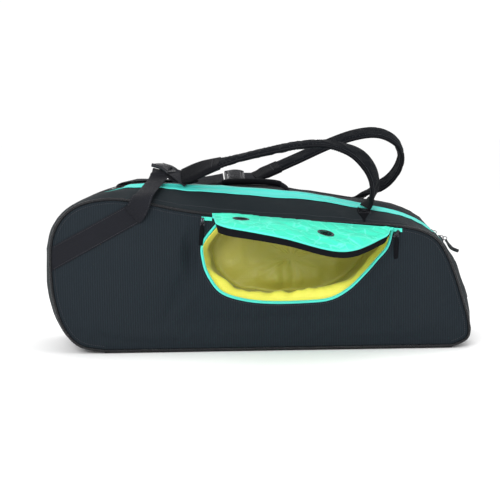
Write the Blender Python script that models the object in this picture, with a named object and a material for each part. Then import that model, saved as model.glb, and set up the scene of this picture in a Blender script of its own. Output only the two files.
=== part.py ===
"""Racket tournament bag: two zipped compartments, a shoe pocket with a lifting flap and carry straps.

Metres. +X runs along the bag's length, +Y points from the front panel to the back, +Z is up.
The origin is on the flat underside, in the middle of the bag's depth.
"""
import math

import bmesh
import bpy
from mathutils import Vector

# Overall form ---------------------------------------------------------------------------------
EDGE_Y = 0.1265          # front and back piping planes lie at -EDGE_Y and +EDGE_Y
CROWN_Y = 0.065          # depth at which each compartment is highest
ZIP_Y = 0.074            # depth at which each compartment's zip parts
CROWN_BULGE = 0.35       # roundness of the gusset between the piping and the crown
VALLEY_DROP = 0.014      # how far the middle seam lies below the crowns
FABRIC = 0.003           # padded fabric wall
TAPE = 0.0012            # zip tape
TAPE_GAP = 0.0007        # play under a tape on curved skin
GAP = 0.0003             # play between neighbouring pieces
PIPING_RADIUS = 0.0034
WEB_WIDTH = 0.038
WEB_THICKNESS = 0.002
FLATNESS = 1e-6          # how far a face's corner may leave its plane
SHARP_ANGLE = math.radians(40.0)

# Side outline, walked from the bottom left corner over the top to the bottom right corner:
# x and z of the piped panel edge, then x and z of the compartment's crown.
OUTLINE = [
    (-0.285, 0.0045, -0.285, 0.0000), (-0.330, 0.0150, -0.338, 0.0080),
    (-0.358, 0.0480, -0.370, 0.0440), (-0.3735, 0.098, -0.388, 0.0980),
    (-0.3785, 0.155, -0.3935, 0.155), (-0.3750, 0.207, -0.388, 0.2080),
    (-0.3560, 0.246, -0.365, 0.2500), (-0.3220, 0.270, -0.325, 0.2760),
    (-0.2700, 0.279, -0.267, 0.2960), (-0.2150, 0.273, -0.210, 0.3030),
    (-0.1500, 0.259, -0.145, 0.3015), (-0.0850, 0.249, -0.080, 0.2955),
    (0.0000, 0.2415, 0.005, 0.2900), (0.0850, 0.2350, 0.085, 0.2805),
    (0.1650, 0.2290, 0.160, 0.2645), (0.2350, 0.2240, 0.235, 0.2495),
    (0.2820, 0.2160, 0.283, 0.2310), (0.3150, 0.2000, 0.318, 0.2060),
    (0.3340, 0.1740, 0.339, 0.1770), (0.3500, 0.1350, 0.361, 0.1370),
    (0.3640, 0.0880, 0.3775, 0.089), (0.3745, 0.0460, 0.386, 0.0440),
    (0.3715, 0.0180, 0.383, 0.0140), (0.3450, 0.0045, 0.350, 0.0000),
]
EDGE = [Vector((row[0], row[1])) for row in OUTLINE]
CROWN = [Vector((row[2], row[3])) for row in OUTLINE]
ZIP_START = 5.0          # outline position of the zip's left end
ZIP_END = 19.7           # and of its right end
ZIP_STEPS = 40
LAST = float(len(OUTLINE) - 1)
SLOPE_STEP = 0.02        # outline step over which a direction is measured
VALLEY_FADE = 0.08       # height below which the middle seam stops dipping

# Shoe pocket mouth in the front panel, from its top left end round to its top right end.
NOTCH_START = 11.25
NOTCH_END = 15.06
MOUTH = [
    (-0.1020, 0.2000), (-0.1040, 0.1650), (-0.0930, 0.1330), (-0.0720, 0.1060), (-0.0280, 0.0905),
    (0.0200, 0.0865), (0.0750, 0.0877), (0.1220, 0.0940), (0.1560, 0.1110), (0.1863, 0.1392),
    (0.2085, 0.1638), (0.2282, 0.1872),
]
POCKET_DEPTH = 0.088
POCKET_WALL = 0.0018

# Joint axes -----------------------------------------------------------------------------------
PIVOT_SIZE = 0.02
FRONT_COVER_PIVOT = Vector((0.0, -0.1245, 0.0045))
BACK_COVER_PIVOT = Vector((0.0, 0.1245, 0.0045))
FLAP_LEFT = Vector((-0.0850, -0.1340, 0.2510))
FLAP_RIGHT = Vector((0.2360, -0.1340, 0.2265))
HANDLE_LEFT = Vector((-0.0800, 0.0, 0.2900))
HANDLE_RIGHT = Vector((0.0560, 0.0, 0.2790))


# Curves and surfaces --------------------------------------------------------------------------
def spline(points, t):
    """Catmull-Rom curve through the points; t counts points from 0."""
    last = len(points) - 1
    i = max(0, min(int(t), last - 1))
    f = t - i
    a = points[max(i - 1, 0)]
    b = points[i]
    c = points[i + 1]
    d = points[min(i + 2, last)]
    slope_b = (c - a) * 0.5
    slope_c = (d - b) * 0.5
    h = f * f * (3 - 2 * f)
    return b * (1 - h) + c * h + slope_b * (f * (1 - f) ** 2) - slope_c * (f * f * (1 - f))


def steps(start, end, count):
    """count + 1 even values from start to end."""
    return [start + (end - start) * i / count for i in range(count + 1)]


ZIP_STATIONS = steps(ZIP_START, ZIP_END, ZIP_STEPS)


def outward(points, t):
    """Unit normal of the outline in its own plane, away from the bag."""
    ahead = spline(points, min(t + SLOPE_STEP, LAST))
    behind = spline(points, max(t - SLOPE_STEP, 0.0))
    run = (ahead - behind).normalized()
    return Vector((-run.y, run.x))


def wall_point(t, y, inset=0.0):
    """Point on the bag's outer skin at outline position t and depth y, moved inward by inset."""
    depth = abs(y)
    crown = spline(CROWN, t)
    normal = outward(CROWN, t)
    if depth > CROWN_Y:
        u = (EDGE_Y - depth) / (EDGE_Y - CROWN_Y)
        point = spline(EDGE, t).lerp(crown, u + CROWN_BULGE * u * (1 - u))
    else:
        drop = VALLEY_DROP * min(1.0, max(0.0, crown.y / VALLEY_FADE))
        point = crown - normal * drop * (1 - depth / CROWN_Y) ** 2
    point = point - normal * inset
    return Vector((point.x, y, point.y))


# Object building ------------------------------------------------------------------------------
def material(name, colour, roughness, metallic=0.0):
    """Principled material with one colour."""
    made = bpy.data.materials.new(name)
    made.use_nodes = True
    shader = made.node_tree.nodes["Principled BSDF"]
    shader.inputs["Base Color"].default_value = (*colour, 1.0)
    shader.inputs["Roughness"].default_value = roughness
    shader.inputs["Metallic"].default_value = metallic
    made.diffuse_color = (*colour, 1.0)
    return made


def pivot(name, location, parent=None):
    """Empty on a joint's axis; pieces of one moving body hang from it."""
    empty = bpy.data.objects.new(name, None)
    bpy.context.collection.objects.link(empty)
    empty.empty_display_size = PIVOT_SIZE
    base = Vector((0.0, 0.0, 0.0))
    if parent is not None:
        empty.parent = parent
        base = PIVOTS[parent.name]
    empty.location = location - base
    PIVOTS[name] = location.copy()
    return empty


def is_flat(face):
    """Whether a face's corners lie in one plane."""
    corner = face.verts[0].co
    return all(abs((vert.co - corner).dot(face.normal)) < FLATNESS for vert in face.verts)


def add_mesh(name, points, faces, look, holder=None):
    """Closed solid from world points, carried by a pivot if one is given."""
    origin = Vector((0.0, 0.0, 0.0)) if holder is None else PIVOTS[holder.name]
    shape = bmesh.new()
    corners = [shape.verts.new(Vector(p) - origin) for p in points]
    for face in faces:
        shape.faces.new([corners[i] for i in face])
    shape.normal_update()
    split = [face for face in shape.faces if len(face.verts) > 4 or not is_flat(face)]
    bmesh.ops.triangulate(shape, faces=split, ngon_method="EAR_CLIP")
    bmesh.ops.recalc_face_normals(shape, faces=shape.faces)
    if shape.calc_volume(signed=True) < 0:
        bmesh.ops.reverse_faces(shape, faces=shape.faces)
    mesh = bpy.data.meshes.new(name)
    shape.to_mesh(mesh)
    shape.free()
    mesh.shade_smooth()
    mesh.set_sharp_from_angle(angle=SHARP_ANGLE)
    mesh.materials.append(look)
    made = bpy.data.objects.new(name, mesh)
    bpy.context.collection.objects.link(made)
    made.parent = holder
    return made


def loft(name, rings, look, holder=None, closed=False):
    """Solid skinned over rings of equal length; open ends are capped."""
    size = len(rings[0])
    count = len(rings)
    points = [p for ring in rings for p in ring]
    faces = []
    for i in range(count if closed else count - 1):
        a = i * size
        b = ((i + 1) % count) * size
        for k in range(size):
            n = (k + 1) % size
            faces.append((a + k, a + n, b + n, b + k))
    if not closed:
        faces.append(tuple(range(size)))
        faces.append(tuple(range((count - 1) * size, count * size)))
    return add_mesh(name, points, faces, look, holder)


def prism(name, outline, y_near, y_far, look, holder=None):
    """Plate with an (x, z) outline between two depths."""
    near = [Vector((p[0], y_near, p[1])) for p in outline]
    far = [Vector((p[0], y_far, p[1])) for p in outline]
    return loft(name, [near, far], look, holder)


def skin_strip(name, stations, depths, thickness, look, holder=None, lift=0.0):
    """Strip of the bag's skin over the given outline positions and across the given depths."""
    rings = []
    for t in stations:
        outer = [wall_point(t, y, -lift) for y in depths]
        inner = [wall_point(t, y, thickness - lift) for y in reversed(depths)]
        rings.append(outer + inner)
    return loft(name, rings, look, holder)


def band(name, path, widths, sides, thickness, look, holder=None):
    """Flat webbing or pad along a path; the sides point across it."""
    rings = []
    for i, centre in enumerate(path):
        run = (path[min(i + 1, len(path) - 1)] - path[max(i - 1, 0)]).normalized()
        side = (sides[i] - run * sides[i].dot(run)).normalized()
        across = side * (widths[i] / 2)
        out = side.cross(run) * (thickness / 2)
        rings.append([centre - across - out, centre + across - out,
                      centre + across + out, centre - across + out])
    return loft(name, rings, look, holder)


def tube(name, path, radius, sides, look, holder=None):
    """Round bar along a path that stays close to the XZ plane."""
    rings = []
    for i, centre in enumerate(path):
        run = path[min(i + 1, len(path) - 1)] - path[max(i - 1, 0)]
        level = Vector((0.0, 1.0, 0.0))
        rise = run.normalized().cross(level).normalized()
        angles = [2 * math.pi * k / sides for k in range(sides)]
        rings.append([centre + (level * math.cos(a) + rise * math.sin(a)) * radius for a in angles])
    return loft(name, rings, look, holder)


END_STEPS = 6            # flat sides in a rounded end


def rounded_plate(name, centre, along, across, length, width, thickness, look, holder=None):
    """Plate with rounded ends, its length along one direction."""
    along = along.normalized()
    across = (across - along * across.dot(along)).normalized()
    normal = along.cross(across)
    radius = width / 2
    outline = []
    for end in (1, -1):
        for k in range(END_STEPS + 1):
            angle = math.pi * (k / END_STEPS - 0.5)
            reach = end * (length / 2 - radius + radius * math.cos(angle))
            outline.append(along * reach + across * (end * radius * math.sin(angle)))
    rings = [[centre + p + normal * (side * thickness / 2) for p in outline] for side in (-1, 1)]
    return loft(name, rings, look, holder)


WEDGE_SECTIONS = ((-0.5, 0.55, 0.55), (-0.25, 0.7, 1.0), (0.25, 0.95, 1.0), (0.5, 0.85, 0.55))
WEDGE_CROWN = 0.7        # width of a slider's top as a share of its base


def wedge(name, centre, along, across, length, width, height, look, holder=None):
    """Zip slider: broad at its nose, narrow at its tail, with a raised back."""
    along = along.normalized()
    across = (across - along * across.dot(along)).normalized()
    normal = along.cross(across).normalized()
    rings = []
    for reach, wide, tall in WEDGE_SECTIONS:
        base = centre + along * (reach * length)
        half = across * (wide * width / 2)
        top = normal * (tall * height)
        rings.append([base - half, base + half,
                      base + half * WEDGE_CROWN + top, base - half * WEDGE_CROWN + top])
    return loft(name, rings, look, holder)


def offset_loop(points, distance):
    """Closed (x, z) loop, walked anticlockwise, moved outward by a distance."""
    moved = []
    count = len(points)
    for i, point in enumerate(points):
        before = (point - points[i - 1]).normalized()
        after = (points[(i + 1) % count] - point).normalized()
        turn = (before + after).normalized()
        normal = Vector((turn.y, -turn.x))
        stretch = 1.0 / max(0.5, normal.dot(Vector((after.y, -after.x))))
        moved.append(point + normal * (distance * stretch))
    return moved


# Start clean ----------------------------------------------------------------------------------
for old in list(bpy.data.objects):
    bpy.data.objects.remove(old, do_unlink=True)

PIVOTS = {}
SHELL = material("shell_fabric", (0.020, 0.028, 0.036), 0.75)
GUSSET = material("gusset_fabric", (0.028, 0.034, 0.042), 0.75)
DARK = material("dark_fabric", (0.012, 0.012, 0.014), 0.8)
CORD = material("piping_fabric", (0.055, 0.052, 0.062), 0.6)
WEBBING = material("webbing", (0.040, 0.036, 0.042), 0.7)
TEAL = material("teal_fabric", (0.11, 0.80, 0.62), 0.5)
TEAL_TAPE = material("teal_tape", (0.06, 0.70, 0.58), 0.45)
LINING = material("yellow_lining", (0.70, 0.69, 0.05), 0.7)
METAL = material("dark_metal", (0.03, 0.03, 0.035), 0.4, 0.8)
STRAP = material("strap_fabric", (0.022, 0.026, 0.032), 0.7)
LOCK = material("lock_plastic", (0.10, 0.105, 0.12), 0.35)
BOARD = material("board_plastic", (0.05, 0.05, 0.05), 0.6)

front = pivot("front_cover_pivot", FRONT_COVER_PIVOT)
back = pivot("back_cover_pivot", BACK_COVER_PIVOT)

# Base and divider -----------------------------------------------------------------------------
BASE_LEFT = -0.2847
BASE_RIGHT = 0.3447
SKIN_START = EDGE_Y - PIPING_RADIUS - 0.0005
SEAM_Y = 0.0018
DIVIDER_HALF = 0.0015
DIVIDER_INSET = 0.0005
DIVIDER_ENDS = 0.6       # outline positions left free at the divider's two lower corners
DIVIDER_FOOT = 0.004
BOARD_Z = FABRIC + GAP
BOARD_THICKNESS = 0.0025
BOARD_LEFT = -0.268
BOARD_RIGHT = 0.328
BOARD_OUT = 0.114
BOARD_IN = SEAM_Y + 0.001


def box(name, low, high, look, holder=None):
    """Plain plate between two corners."""
    outline = [(low[0], low[2]), (high[0], low[2]), (high[0], high[2]), (low[0], high[2])]
    return prism(name, outline, low[1], high[1], look, holder)


def make_base():
    """Flat underside with a stiffening board in each compartment."""
    box("base_panel", (BASE_LEFT, -SKIN_START, 0.0), (BASE_RIGHT, SKIN_START, FABRIC), GUSSET)
    for name, y_low, y_high in (("front_base_board", -BOARD_OUT, -BOARD_IN),
                                ("back_base_board", BOARD_IN, BOARD_OUT)):
        box(name, (BOARD_LEFT, y_low, BOARD_Z), (BOARD_RIGHT, y_high, BOARD_Z + BOARD_THICKNESS), BOARD)


def make_divider():
    """Padded partition that parts the two compartments and meets the skin along the middle seam."""
    rim = [wall_point(t, 0.0, DIVIDER_INSET) for t in steps(DIVIDER_ENDS, LAST - DIVIDER_ENDS, 56)]
    outline = [(p.x, p.z) for p in rim]
    outline.append((BASE_RIGHT - DIVIDER_FOOT, BOARD_Z))
    outline.append((BASE_LEFT + DIVIDER_FOOT, BOARD_Z))
    prism("divider", outline, -DIVIDER_HALF, DIVIDER_HALF, SHELL)


make_base()
make_divider()

# Fixed skin: lower ends, inner gussets and the inner halves of the zips ------------------------
TAPE_IN = 0.0623
TAPE_OUT = 0.087
SPLIT = 0.0002
END_DEPTHS = (SKIN_START, 0.105, 0.087, CROWN_Y, 0.045, 0.022, SEAM_Y)
INNER_DEPTHS = (ZIP_Y - SPLIT, CROWN_Y, 0.045, 0.022, SEAM_Y)
OUTER_DEPTHS = (SKIN_START, 0.105, 0.087, ZIP_Y + SPLIT)
BASE_GAP_LEFT = 0.004    # outline positions kept clear between the end gussets and the base
BASE_GAP_RIGHT = 0.012
ZIP_GAP = 0.01
INNER_TAPE_DEPTHS = (ZIP_Y - SPLIT, CROWN_Y, TAPE_IN)
OUTER_TAPE_DEPTHS = (TAPE_OUT, ZIP_Y + SPLIT)


def side_depths(depths, side):
    """Depths on the front (-1) or back (+1) half."""
    return [side * y for y in depths]


def make_fixed_skin(prefix, side, tape_look):
    """Skin pieces of one half that stay with the base."""
    skin_strip("left_end_gusset_" + prefix, steps(BASE_GAP_LEFT, ZIP_START - ZIP_GAP, 12),
               side_depths(END_DEPTHS, side), FABRIC, GUSSET)
    skin_strip("right_end_gusset_" + prefix, steps(ZIP_END + ZIP_GAP, LAST - BASE_GAP_RIGHT, 10),
               side_depths(END_DEPTHS, side), FABRIC, GUSSET)
    skin_strip(prefix + "_inner_gusset", ZIP_STATIONS,
               side_depths(INNER_DEPTHS, side), FABRIC, GUSSET)
    skin_strip(prefix + "_zip_inner_tape", ZIP_STATIONS[1:-1],
               side_depths(INNER_TAPE_DEPTHS, side), TAPE, tape_look, lift=TAPE + TAPE_GAP)


make_fixed_skin("front", -1, TEAL_TAPE)
make_fixed_skin("back", 1, DARK)

# Covers ---------------------------------------------------------------------------------------
PANEL_PLAY = 0.0009
PANEL_INSET = PIPING_RADIUS + PANEL_PLAY
PANEL_FRONT = EDGE_Y
PANEL_BACK = EDGE_Y - FABRIC
PIPING_STEPS = 66
MOUTH_STEPS = 36


def panel_edge(t):
    """Point of the stiff panel's rim, just inside the piping."""
    point = spline(EDGE, t) - outward(EDGE, t) * PANEL_INSET
    return Vector((point.x, point.y))


def mouth_points(count, low=0.0):
    """Pocket mouth from its left top end to its right top end, both ends lowered by low."""
    first = panel_edge(NOTCH_START) - Vector((0.0, low))
    last = panel_edge(NOTCH_END) - Vector((0.0, low))
    controls = [first] + [Vector(p) for p in MOUTH] + [last]
    return [spline(controls, t) for t in steps(0.0, len(controls) - 1.0, count)]


def make_piping(name, side, holder):
    """Closed round cord round the whole panel edge."""
    centres = [(spline(EDGE, t), outward(EDGE, t)) for t in steps(0.0, LAST, PIPING_STEPS)]
    down = Vector((0.0, -1.0))
    floor_z = EDGE[0].y
    for x in steps(EDGE[-1].x, EDGE[0].x, 9)[1:-1]:
        centres.append((Vector((x, floor_z)), down))
    centres[0] = (centres[0][0], down)
    centres[PIPING_STEPS] = (centres[PIPING_STEPS][0], down)
    rings = []
    for centre, normal in centres:
        ring = []
        for k in range(6):
            angle = math.pi * (2 * k + 1) / 6
            flat = centre + normal * (PIPING_RADIUS * math.sin(angle))
            ring.append(Vector((flat.x, side * EDGE_Y + PIPING_RADIUS * math.cos(angle), flat.y)))
        rings.append(ring)
    loft(name, rings, CORD, holder, closed=True)


def make_cover(prefix, side, holder, tape_look):
    """Outer gusset, piping and outer zip half of one compartment."""
    make_piping(prefix + "_piping", side, holder)
    skin_strip(prefix + "_outer_gusset", ZIP_STATIONS,
               side_depths(OUTER_DEPTHS, side), FABRIC, GUSSET, holder)
    skin_strip(prefix + "_zip_outer_tape", ZIP_STATIONS[1:-1],
               side_depths(OUTER_TAPE_DEPTHS, side), TAPE, tape_look, holder, lift=TAPE + TAPE_GAP)


def make_front_panel():
    """Front plate with the shoe pocket's mouth cut out of its top edge."""
    rim = [panel_edge(t) for t in steps(NOTCH_END, LAST, 24)]
    rim += [panel_edge(t) for t in steps(0.0, NOTCH_START, 34)]
    rim += mouth_points(MOUTH_STEPS)[1:-1]
    prism("front_panel", rim, -PANEL_FRONT, -PANEL_BACK, SHELL, front)


def make_back_panel():
    """Plain back plate."""
    rim = [panel_edge(t) for t in steps(0.0, LAST, 56)]
    prism("back_panel", rim, PANEL_BACK, PANEL_FRONT, SHELL, back)


make_cover("front", -1, front, TEAL_TAPE)
make_cover("back", 1, back, DARK)
make_front_panel()
make_back_panel()

# Shoe pocket ----------------------------------------------------------------------------------
POCKET_TOP_LOW = 0.006   # how far the lining's roof lies below the mouth's top
POCKET_WAIST = 0.05      # depth at which the lining starts to narrow
POCKET_WAIST_SCALE = 0.98
POCKET_FLOOR_SCALE = 0.90


def liner_ring(loop, middle, y, scale):
    """Loop shrunk about its middle and placed at a depth."""
    flat = [middle + (p - middle) * scale for p in loop]
    return [Vector((p.x, y, p.y)) for p in flat]


def make_pocket_liner():
    """Bag-like lining behind the mouth: open to the front, closed at the back."""
    inner = mouth_points(MOUTH_STEPS, POCKET_TOP_LOW)
    outer = offset_loop(inner, POCKET_WALL)
    middle = sum(inner, Vector((0.0, 0.0))) / len(inner)
    y_rim = GAP - PANEL_BACK
    y_waist = y_rim + POCKET_WAIST
    y_floor = y_rim + POCKET_DEPTH
    rings = [
        liner_ring(outer, middle, y_rim, 1.0),
        liner_ring(outer, middle, y_waist, POCKET_WAIST_SCALE),
        liner_ring(outer, middle, y_floor, POCKET_FLOOR_SCALE),
        liner_ring(inner, middle, y_floor - POCKET_WALL, POCKET_FLOOR_SCALE),
        liner_ring(inner, middle, y_waist, POCKET_WAIST_SCALE),
        liner_ring(inner, middle, y_rim, 1.0),
    ]
    size = len(inner)
    faces = []
    for i in (0, 1, 3, 4, 5):
        a = i * size
        b = ((i + 1) % len(rings)) * size
        for k in range(size):
            n = (k + 1) % size
            faces.append((a + k, a + n, b + n, b + k))
    faces.append(tuple(range(2 * size, 3 * size)))
    faces.append(tuple(range(3 * size, 4 * size)))
    add_mesh("shoe_pocket_liner", [p for ring in rings for p in ring], faces, LINING, front)


MOUTH_TAPE_INNER = 0.0006    # distances of the tape's two edges from the mouth
MOUTH_TAPE_OUTER = 0.0062
MOUTH_TAPE_STEPS = 48


def make_mouth_tape():
    """Teal zip tape sewn round the mouth on the panel's face."""
    rings = []
    line = mouth_points(MOUTH_TAPE_STEPS)[1:-1]
    near = -PANEL_FRONT - GAP
    for i, point in enumerate(line):
        run = (line[min(i + 1, len(line) - 1)] - line[max(i - 1, 0)]).normalized()
        out = Vector((run.y, -run.x))
        inner = point + out * MOUTH_TAPE_INNER
        outer = point + out * MOUTH_TAPE_OUTER
        rings.append([Vector((inner.x, near, inner.y)), Vector((outer.x, near, outer.y)),
                      Vector((outer.x, near - TAPE, outer.y)), Vector((inner.x, near - TAPE, inner.y))])
    loft("pocket_mouth_tape", rings, TEAL_TAPE, front)


make_pocket_liner()
make_mouth_tape()

# Shoe pocket flap: hinged along the top of the mouth, lifted like an awning --------------------
FLAP_THICKNESS = 0.003
FLAP_CURL = 1.5          # radians of curl for each metre from the hinge
FLAP_TILT_LEFT = 0.02    # droop below level at the hinge's left end, radians
FLAP_TILT_RIGHT = 0.24
FLAP_MARGIN = 0.006
FLAP_ROOT = 0.004        # reach at which the free edge starts at both ends of the hinge
FLAP_FIRST = 0.012       # shortest reach taken from the mouth's outline
FLAP_MIDDLE = 0.45       # share of the hinge towards which the edge shrinks
EDGE_TAPE_INNER = 0.011  # distances of the edge tape's two rims inside the mouth
EDGE_TAPE_OUTER = 0.002
FLAP_AXIS = (FLAP_RIGHT - FLAP_LEFT).normalized()
FLAP_LENGTH = (FLAP_RIGHT - FLAP_LEFT).length
flap_pivot = pivot("flap_pivot", (FLAP_LEFT + FLAP_RIGHT) / 2, front)


def flap_point(along, reach, lift=0.0):
    """World point on the lifted flap: along its hinge, then out from it, then above its face."""
    share = min(1.0, max(0.0, along / FLAP_LENGTH))
    tilt = FLAP_TILT_LEFT + (FLAP_TILT_RIGHT - FLAP_TILT_LEFT) * share
    angle = tilt + FLAP_CURL * reach
    forward = (math.sin(angle) - math.sin(tilt)) / FLAP_CURL
    fall = (math.cos(tilt) - math.cos(angle)) / FLAP_CURL
    root = FLAP_LEFT + FLAP_AXIS * along
    return root + Vector((0.0, -forward - math.sin(angle) * lift, -fall + math.cos(angle) * lift))


def flap_edge(count, margin):
    """Free edge of the flap laid flat: distances along the hinge and out from it."""
    line = mouth_points(80)
    flat = []
    for point in line:
        away = Vector((point.x, FLAP_LEFT.y, point.y)) - FLAP_LEFT
        along = away.dot(FLAP_AXIS)
        reach = (away - FLAP_AXIS * along).length
        flat.append(Vector((along, reach)))
    centre = Vector((FLAP_LENGTH * FLAP_MIDDLE, 0.0))
    shrunk = [p - (p - centre).normalized() * margin for p in flat if p.y > FLAP_FIRST]
    shrunk = [Vector((min(max(p.x, 0.0), FLAP_LENGTH), p.y)) for p in shrunk]
    ends = [Vector((0.0, FLAP_ROOT))] + shrunk + [Vector((FLAP_LENGTH, FLAP_ROOT))]
    lengths = [0.0]
    for a, b in zip(ends, ends[1:]):
        lengths.append(lengths[-1] + (b - a).length)
    edge = []
    for share in steps(0.0, 1.0, count):
        goal = share * lengths[-1]
        i = max(0, min(len(ends) - 2, sum(1 for v in lengths if v < goal) - 1))
        span = max(lengths[i + 1] - lengths[i], 1e-9)
        edge.append(ends[i].lerp(ends[i + 1], (goal - lengths[i]) / span))
    return edge


def make_flap():
    """Padded flap skinned between its hinge line and its rounded free edge."""
    columns = 28
    rows = 5
    edge = flap_edge(columns, FLAP_MARGIN)
    points = []
    for lift in (0.0, -FLAP_THICKNESS):
        for j, end in enumerate(edge):
            root = Vector((FLAP_LENGTH * j / columns, 0.0))
            for k in range(rows + 1):
                flat = root.lerp(end, k / rows)
                points.append(flap_point(flat.x, flat.y, lift))
    stride = rows + 1
    sheet = stride * (columns + 1)
    faces = []
    for j in range(columns):
        for k in range(rows):
            a = j * stride + k
            faces.append((a, a + 1, a + stride + 1, a + stride))
            faces.append((sheet + a, sheet + a + 1, sheet + a + stride + 1, sheet + a + stride))
    rim = [j * stride for j in range(columns + 1)]
    rim += [columns * stride + k for k in range(1, rows + 1)]
    rim += [j * stride + rows for j in range(columns - 1, -1, -1)]
    rim += list(range(rows - 1, 0, -1))
    for a, b in zip(rim, rim[1:] + rim[:1]):
        faces.append((a, b, sheet + b, sheet + a))
    add_mesh("shoe_flap", points, faces, TEAL, flap_pivot)


def make_flap_edge_tape():
    """Black zip tape under the flap's free edge."""
    edge = flap_edge(36, FLAP_MARGIN + EDGE_TAPE_OUTER)[2:-2]
    inner = flap_edge(36, FLAP_MARGIN + EDGE_TAPE_INNER)[2:-2]
    top = -FLAP_THICKNESS - GAP
    rings = []
    for near, far in zip(edge, inner):
        rings.append([flap_point(near.x, near.y, top), flap_point(far.x, far.y, top),
                      flap_point(far.x, far.y, top - TAPE), flap_point(near.x, near.y, top - TAPE)])
    loft("flap_edge_tape", rings, DARK, flap_pivot)


EYELET_SECTION = ((0.0150, GAP), (0.0150, 0.0012), (0.0105, 0.0018), (0.0105, GAP))
EYELET_STEPS = 20


def make_eyelet(name, along, reach):
    """Vent ring pressed into the flap's face."""
    rings = []
    for k in range(EYELET_STEPS):
        turn = 2 * math.pi * k / EYELET_STEPS
        ring = []
        for radius, lift in EYELET_SECTION:
            ring.append(flap_point(along + radius * math.cos(turn), reach + radius * math.sin(turn), lift))
        rings.append(ring)
    loft(name, rings, METAL, flap_pivot, closed=True)


make_flap()
make_flap_edge_tape()
make_eyelet("flap_eyelet_left", 0.052, 0.062)
make_eyelet("flap_eyelet_right", 0.200, 0.070)

# Zip sliders and pullers ----------------------------------------------------------------------
PULL_THICKNESS = 0.0015
PULL_WIDTH = 0.0075
SLIDER_HEIGHT = 0.0038
SLIDER_WAIST = 0.7       # width of a slider as a share of its length
EYE_HEIGHT = 0.0052      # height of a puller's axis over its tape


def make_zip_pull(name, nose, run, across, puller_end, holder, slider_size):
    """Slider on its tape, with a puller hinged at its nose."""
    run = run.normalized()
    carriage = pivot(name + "_slider_pivot", nose, holder)
    wedge(name + "_slider", nose, run, across, slider_size, slider_size * SLIDER_WAIST, SLIDER_HEIGHT,
          METAL, carriage)
    normal = run.cross((across - run * across.dot(run)).normalized())
    eye = nose + normal * EYE_HEIGHT
    swing = pivot(name + "_puller_pivot", eye, carriage)
    reach = puller_end - eye
    rounded_plate(name + "_puller", eye + reach * 0.5, reach, across, reach.length, PULL_WIDTH,
                  PULL_THICKNESS, CORD, swing)


TAPE_TOP = 2 * TAPE + TAPE_GAP


def crown_frame(t, side):
    """Point above the zip's parting line, with the directions along and across it."""
    depth = side * ZIP_Y
    here = wall_point(t, depth, -TAPE_TOP)
    run = wall_point(t + 0.1, depth) - wall_point(t - 0.1, depth)
    return here, run.normalized()


SLIDER_T = 17.45         # outline position where the main sliders rest
SLIDER_LIFT = Vector((0.0035, 0.0, 0.0030))
MAIN_PULL = Vector((0.0420, 0.0, -0.0230))
MAIN_SLIDER = 0.014
POCKET_SLIDER = 0.012
POCKET_SLIDER_Y = -PANEL_FRONT - GAP - TAPE - 0.0006
POCKET_LEFT_STOP = Vector((-0.1030, POCKET_SLIDER_Y, 0.2360))
POCKET_RIGHT_STOP = Vector((0.2455, POCKET_SLIDER_Y, 0.2090))


def make_main_sliders():
    """One slider for each compartment, resting at the right end of the top."""
    for prefix, side, holder in (("front", -1, front), ("back", 1, back)):
        nose, run = crown_frame(SLIDER_T, side)
        nose = nose + SLIDER_LIFT
        side_way = Vector((0.0, 1.0, 0.0))
        make_zip_pull(prefix + "_zip", nose, run, side_way, nose + MAIN_PULL, holder, MAIN_SLIDER)


def make_pocket_sliders():
    """Two sliders parked at the top ends of the pocket mouth."""
    left = POCKET_LEFT_STOP
    right = POCKET_RIGHT_STOP
    make_zip_pull("pocket_left", left, Vector((0.0, 0.0, -1.0)), Vector((1.0, 0.0, 0.0)),
                  left + Vector((-0.004, -EYE_HEIGHT, -0.042)), front, POCKET_SLIDER)
    make_zip_pull("pocket_right", right, Vector((-0.64, 0.0, -0.77)), Vector((0.77, 0.0, -0.64)),
                  right + Vector((-0.002, -EYE_HEIGHT, -0.046)), front, POCKET_SLIDER)


make_main_sliders()
make_pocket_sliders()


TAB = 0.0016             # thickness of a zip's end tab
TAB_SPAN = (ZIP_END + 0.03, ZIP_END + 0.35)
TAB_DEPTHS = (0.0800, CROWN_Y, 0.0600)


def make_zip_end_tabs():
    """Small fabric garage that closes each zip's right end."""
    for prefix, side in (("front", -1), ("back", 1)):
        skin_strip(prefix + "_zip_end_tab", steps(*TAB_SPAN, 4), side_depths(TAB_DEPTHS, side), TAB, DARK,
                   lift=TAB + TAPE_GAP)


make_zip_end_tabs()

# Grab handle on the middle seam ---------------------------------------------------------------
HANDLE_RADIUS = 0.0048
PATCH = 0.0022           # thickness of a sewn webbing patch
PATCH_DEPTHS = (-0.0150, 0.0, 0.0150)
HANDLE_PATCH = 0.18      # half length of a handle patch, in outline positions
HANDLE_LINE = [
    HANDLE_LEFT, Vector((-0.074, 0.0, 0.300)), Vector((-0.060, 0.0, 0.3075)), Vector((-0.015, 0.0, 0.3095)),
    Vector((0.034, 0.0, 0.3050)), Vector((0.050, 0.0, 0.294)), HANDLE_RIGHT,
]
handle_pivot = pivot("handle_pivot", (HANDLE_LEFT + HANDLE_RIGHT) / 2)


def make_grab_handle():
    """Rolled webbing handle that stands over the middle seam."""
    path = [spline(HANDLE_LINE, t) for t in steps(0.0, len(HANDLE_LINE) - 1.0, 20)]
    tube("grab_handle", path, HANDLE_RADIUS, 8, DARK, handle_pivot)
    for name, t in (("handle_anchor_left", 11.02), ("handle_anchor_right", 12.62)):
        stations = steps(t - HANDLE_PATCH, t + HANDLE_PATCH, 4)
        skin_strip(name, stations, PATCH_DEPTHS, PATCH, WEBBING, lift=PATCH + TAPE_GAP)


make_grab_handle()

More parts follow.
